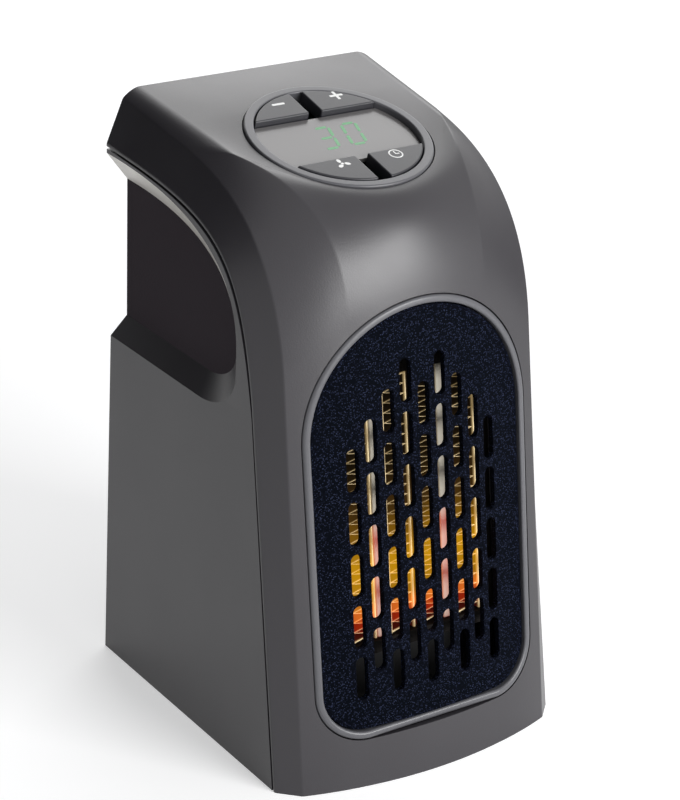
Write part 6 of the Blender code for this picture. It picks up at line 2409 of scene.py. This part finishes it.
    def add_card(self, name: str, place: Point, size: Flat, tone: float) -> Piece:
        """Hang a card that keeps light and reflections off one side of the heater.

        Args:
            name: the card's name.
            place: where it hangs, in metres.
            size: its width and height.
            tone: how bright it shows in reflections, where 1 is white paper in full light.

        Returns:
            The card.
        """
        Bench.rest()
        bpy.ops.mesh.primitive_plane_add(size=1.0)
        card = bpy.context.object
        card.name = name
        card.scale = (size[0], size[1], 1.0)
        bpy.ops.object.transform_apply(location=False, rotation=False, scale=True)
        card.visible_camera = False
        wires, shader = self.add_paper(card, name, self.card_tone, 1.0)
        wires.feed(shader, {"Emission Strength": tone})
        self.face_heater(card, place)
        return card


@dataclass
class Heater:
    """The whole heater, whose sub-assemblies are built in order and dressed piece by piece."""

    paints: Paintbox
    form: BodyForm = field(default_factory=BodyForm)
    arch: Arch = field(default_factory=Arch)

    def paint_frame(self, frame: dict[str, object]) -> None:
        """Give every CAD node the finish of its material slot.
        """
        for part in frame["record"]["subparts"]:
            piece = frame["nodes"][part["node"]]
            material = self.paints.get(SLOT_PAINTS[part["material_slot"]])
            for place in piece.material_slots:
                place.material = material
            if not piece.material_slots:
                piece.data.materials.append(material)

    def build_body(self) -> None:
        """Build the shell, the housing, the outlet and the element."""
        form, dress = self.form, self.paints.dress
        dress(ShellMaker(form, self.arch).build(), "anthracite_plastic", "front_shell")
        housing = HousingMaker(form)
        sides = dress(housing.build(), "anthracite_plastic", "rear_housing")
        self.paints.dress_faces(sides, Paint.GRIP, housing.on_floor)
        # The brow over each recess gets a pale painted highlight.
        self.paints.dress_faces(sides, Paint.BROW, housing.on_brow_highlight)
        dress(CoverMaker(form, housing).build(), "anthracite_plastic", "back_cover")
        outlet = OutletMaker(form, self.arch)
        dress(outlet.build_bezel(), "grey_trim", "bezel_ring")
        dress(outlet.build_plate(), "black_grille", "front_grille")
        element = ElementMaker(form)
        for number, x in enumerate(element.pack_places(), 1):
            dress(element.build_pack(number, x), "fin_aluminium", f"fin_pack_{number}")
        for number, x in enumerate(element.bar_places(), 1):
            dress(element.build_bar(number, x), "heater_ceramic", f"ceramic_bar_{number}")

    def build_panel(self) -> None:
        """Build the control panel with its marks."""
        panel, dress = PanelMaker(self.form), self.paints.dress
        dress(panel.build_ring(), "grey_trim", "control_ring")
        dress(panel.build_window(), "display_window", "display_window")
        dress(panel.build_digits(), "display_window", paint=Paint.DIGIT)
        buttons = (
            ("minus", -1, 1, Body.MINUS, panel.build_minus),
            ("plus", 1, 1, Body.PLUS, panel.build_plus),
            ("speed", -1, -1, Body.SPEED, panel.build_fan_mark),
            ("timer", 1, -1, Body.TIMER, panel.build_clock_mark),
        )
        for name, side_x, side_y, body, build_mark in buttons:
            cap = panel.build_button(name, side_x, side_y)
            dress(cap, "button_plastic", f"button_{name}", body=body)
            dress(build_mark(), "button_plastic", body=body, paint=Paint.MARK)

    def build_back(self) -> None:
        """Build the plug, the back cover's screws and the main switch."""
        plug, dress = PlugMaker(self.form), self.paints.dress
        dress(plug.build_turret(), "black_parts", "plug_turret", body=Body.PLUG)
        for side, word in ((-1, "left"), (1, "right")):
            pin = plug.build_pin(f"round_pin_{word}", side)
            dress(pin, "nickel_brass", f"plug_pin_{word}", body=Body.PLUG)
        housing = HousingMaker(self.form)
        screws = ScrewMaker(housing)
        for number, place in enumerate(housing.boss_places(), 1):
            dress(screws.build(number, place), "steel", f"cover_screw_{number}")
        rocker = RockerMaker(self.form, housing)
        dress(rocker.build_case(), "black_parts", "rocker_case")
        dress(rocker.build_key(), "black_parts", "rocker_key", body=Body.ROCKER)
        dress(rocker.build_marks(), "black_parts", body=Body.ROCKER, paint=Paint.MARK)


def main() -> None:
    """Build and dress the heater."""
    logging.basicConfig(level=logging.INFO, format="%(message)s")
    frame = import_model()
    Bench.rest()
    heater = Heater(Paintbox())
    heater.paint_frame(frame)
    Studio().build()
    heater.build_body()
    heater.build_panel()
    heater.build_back()
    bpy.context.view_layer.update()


if __name__ == "__main__":
    main()
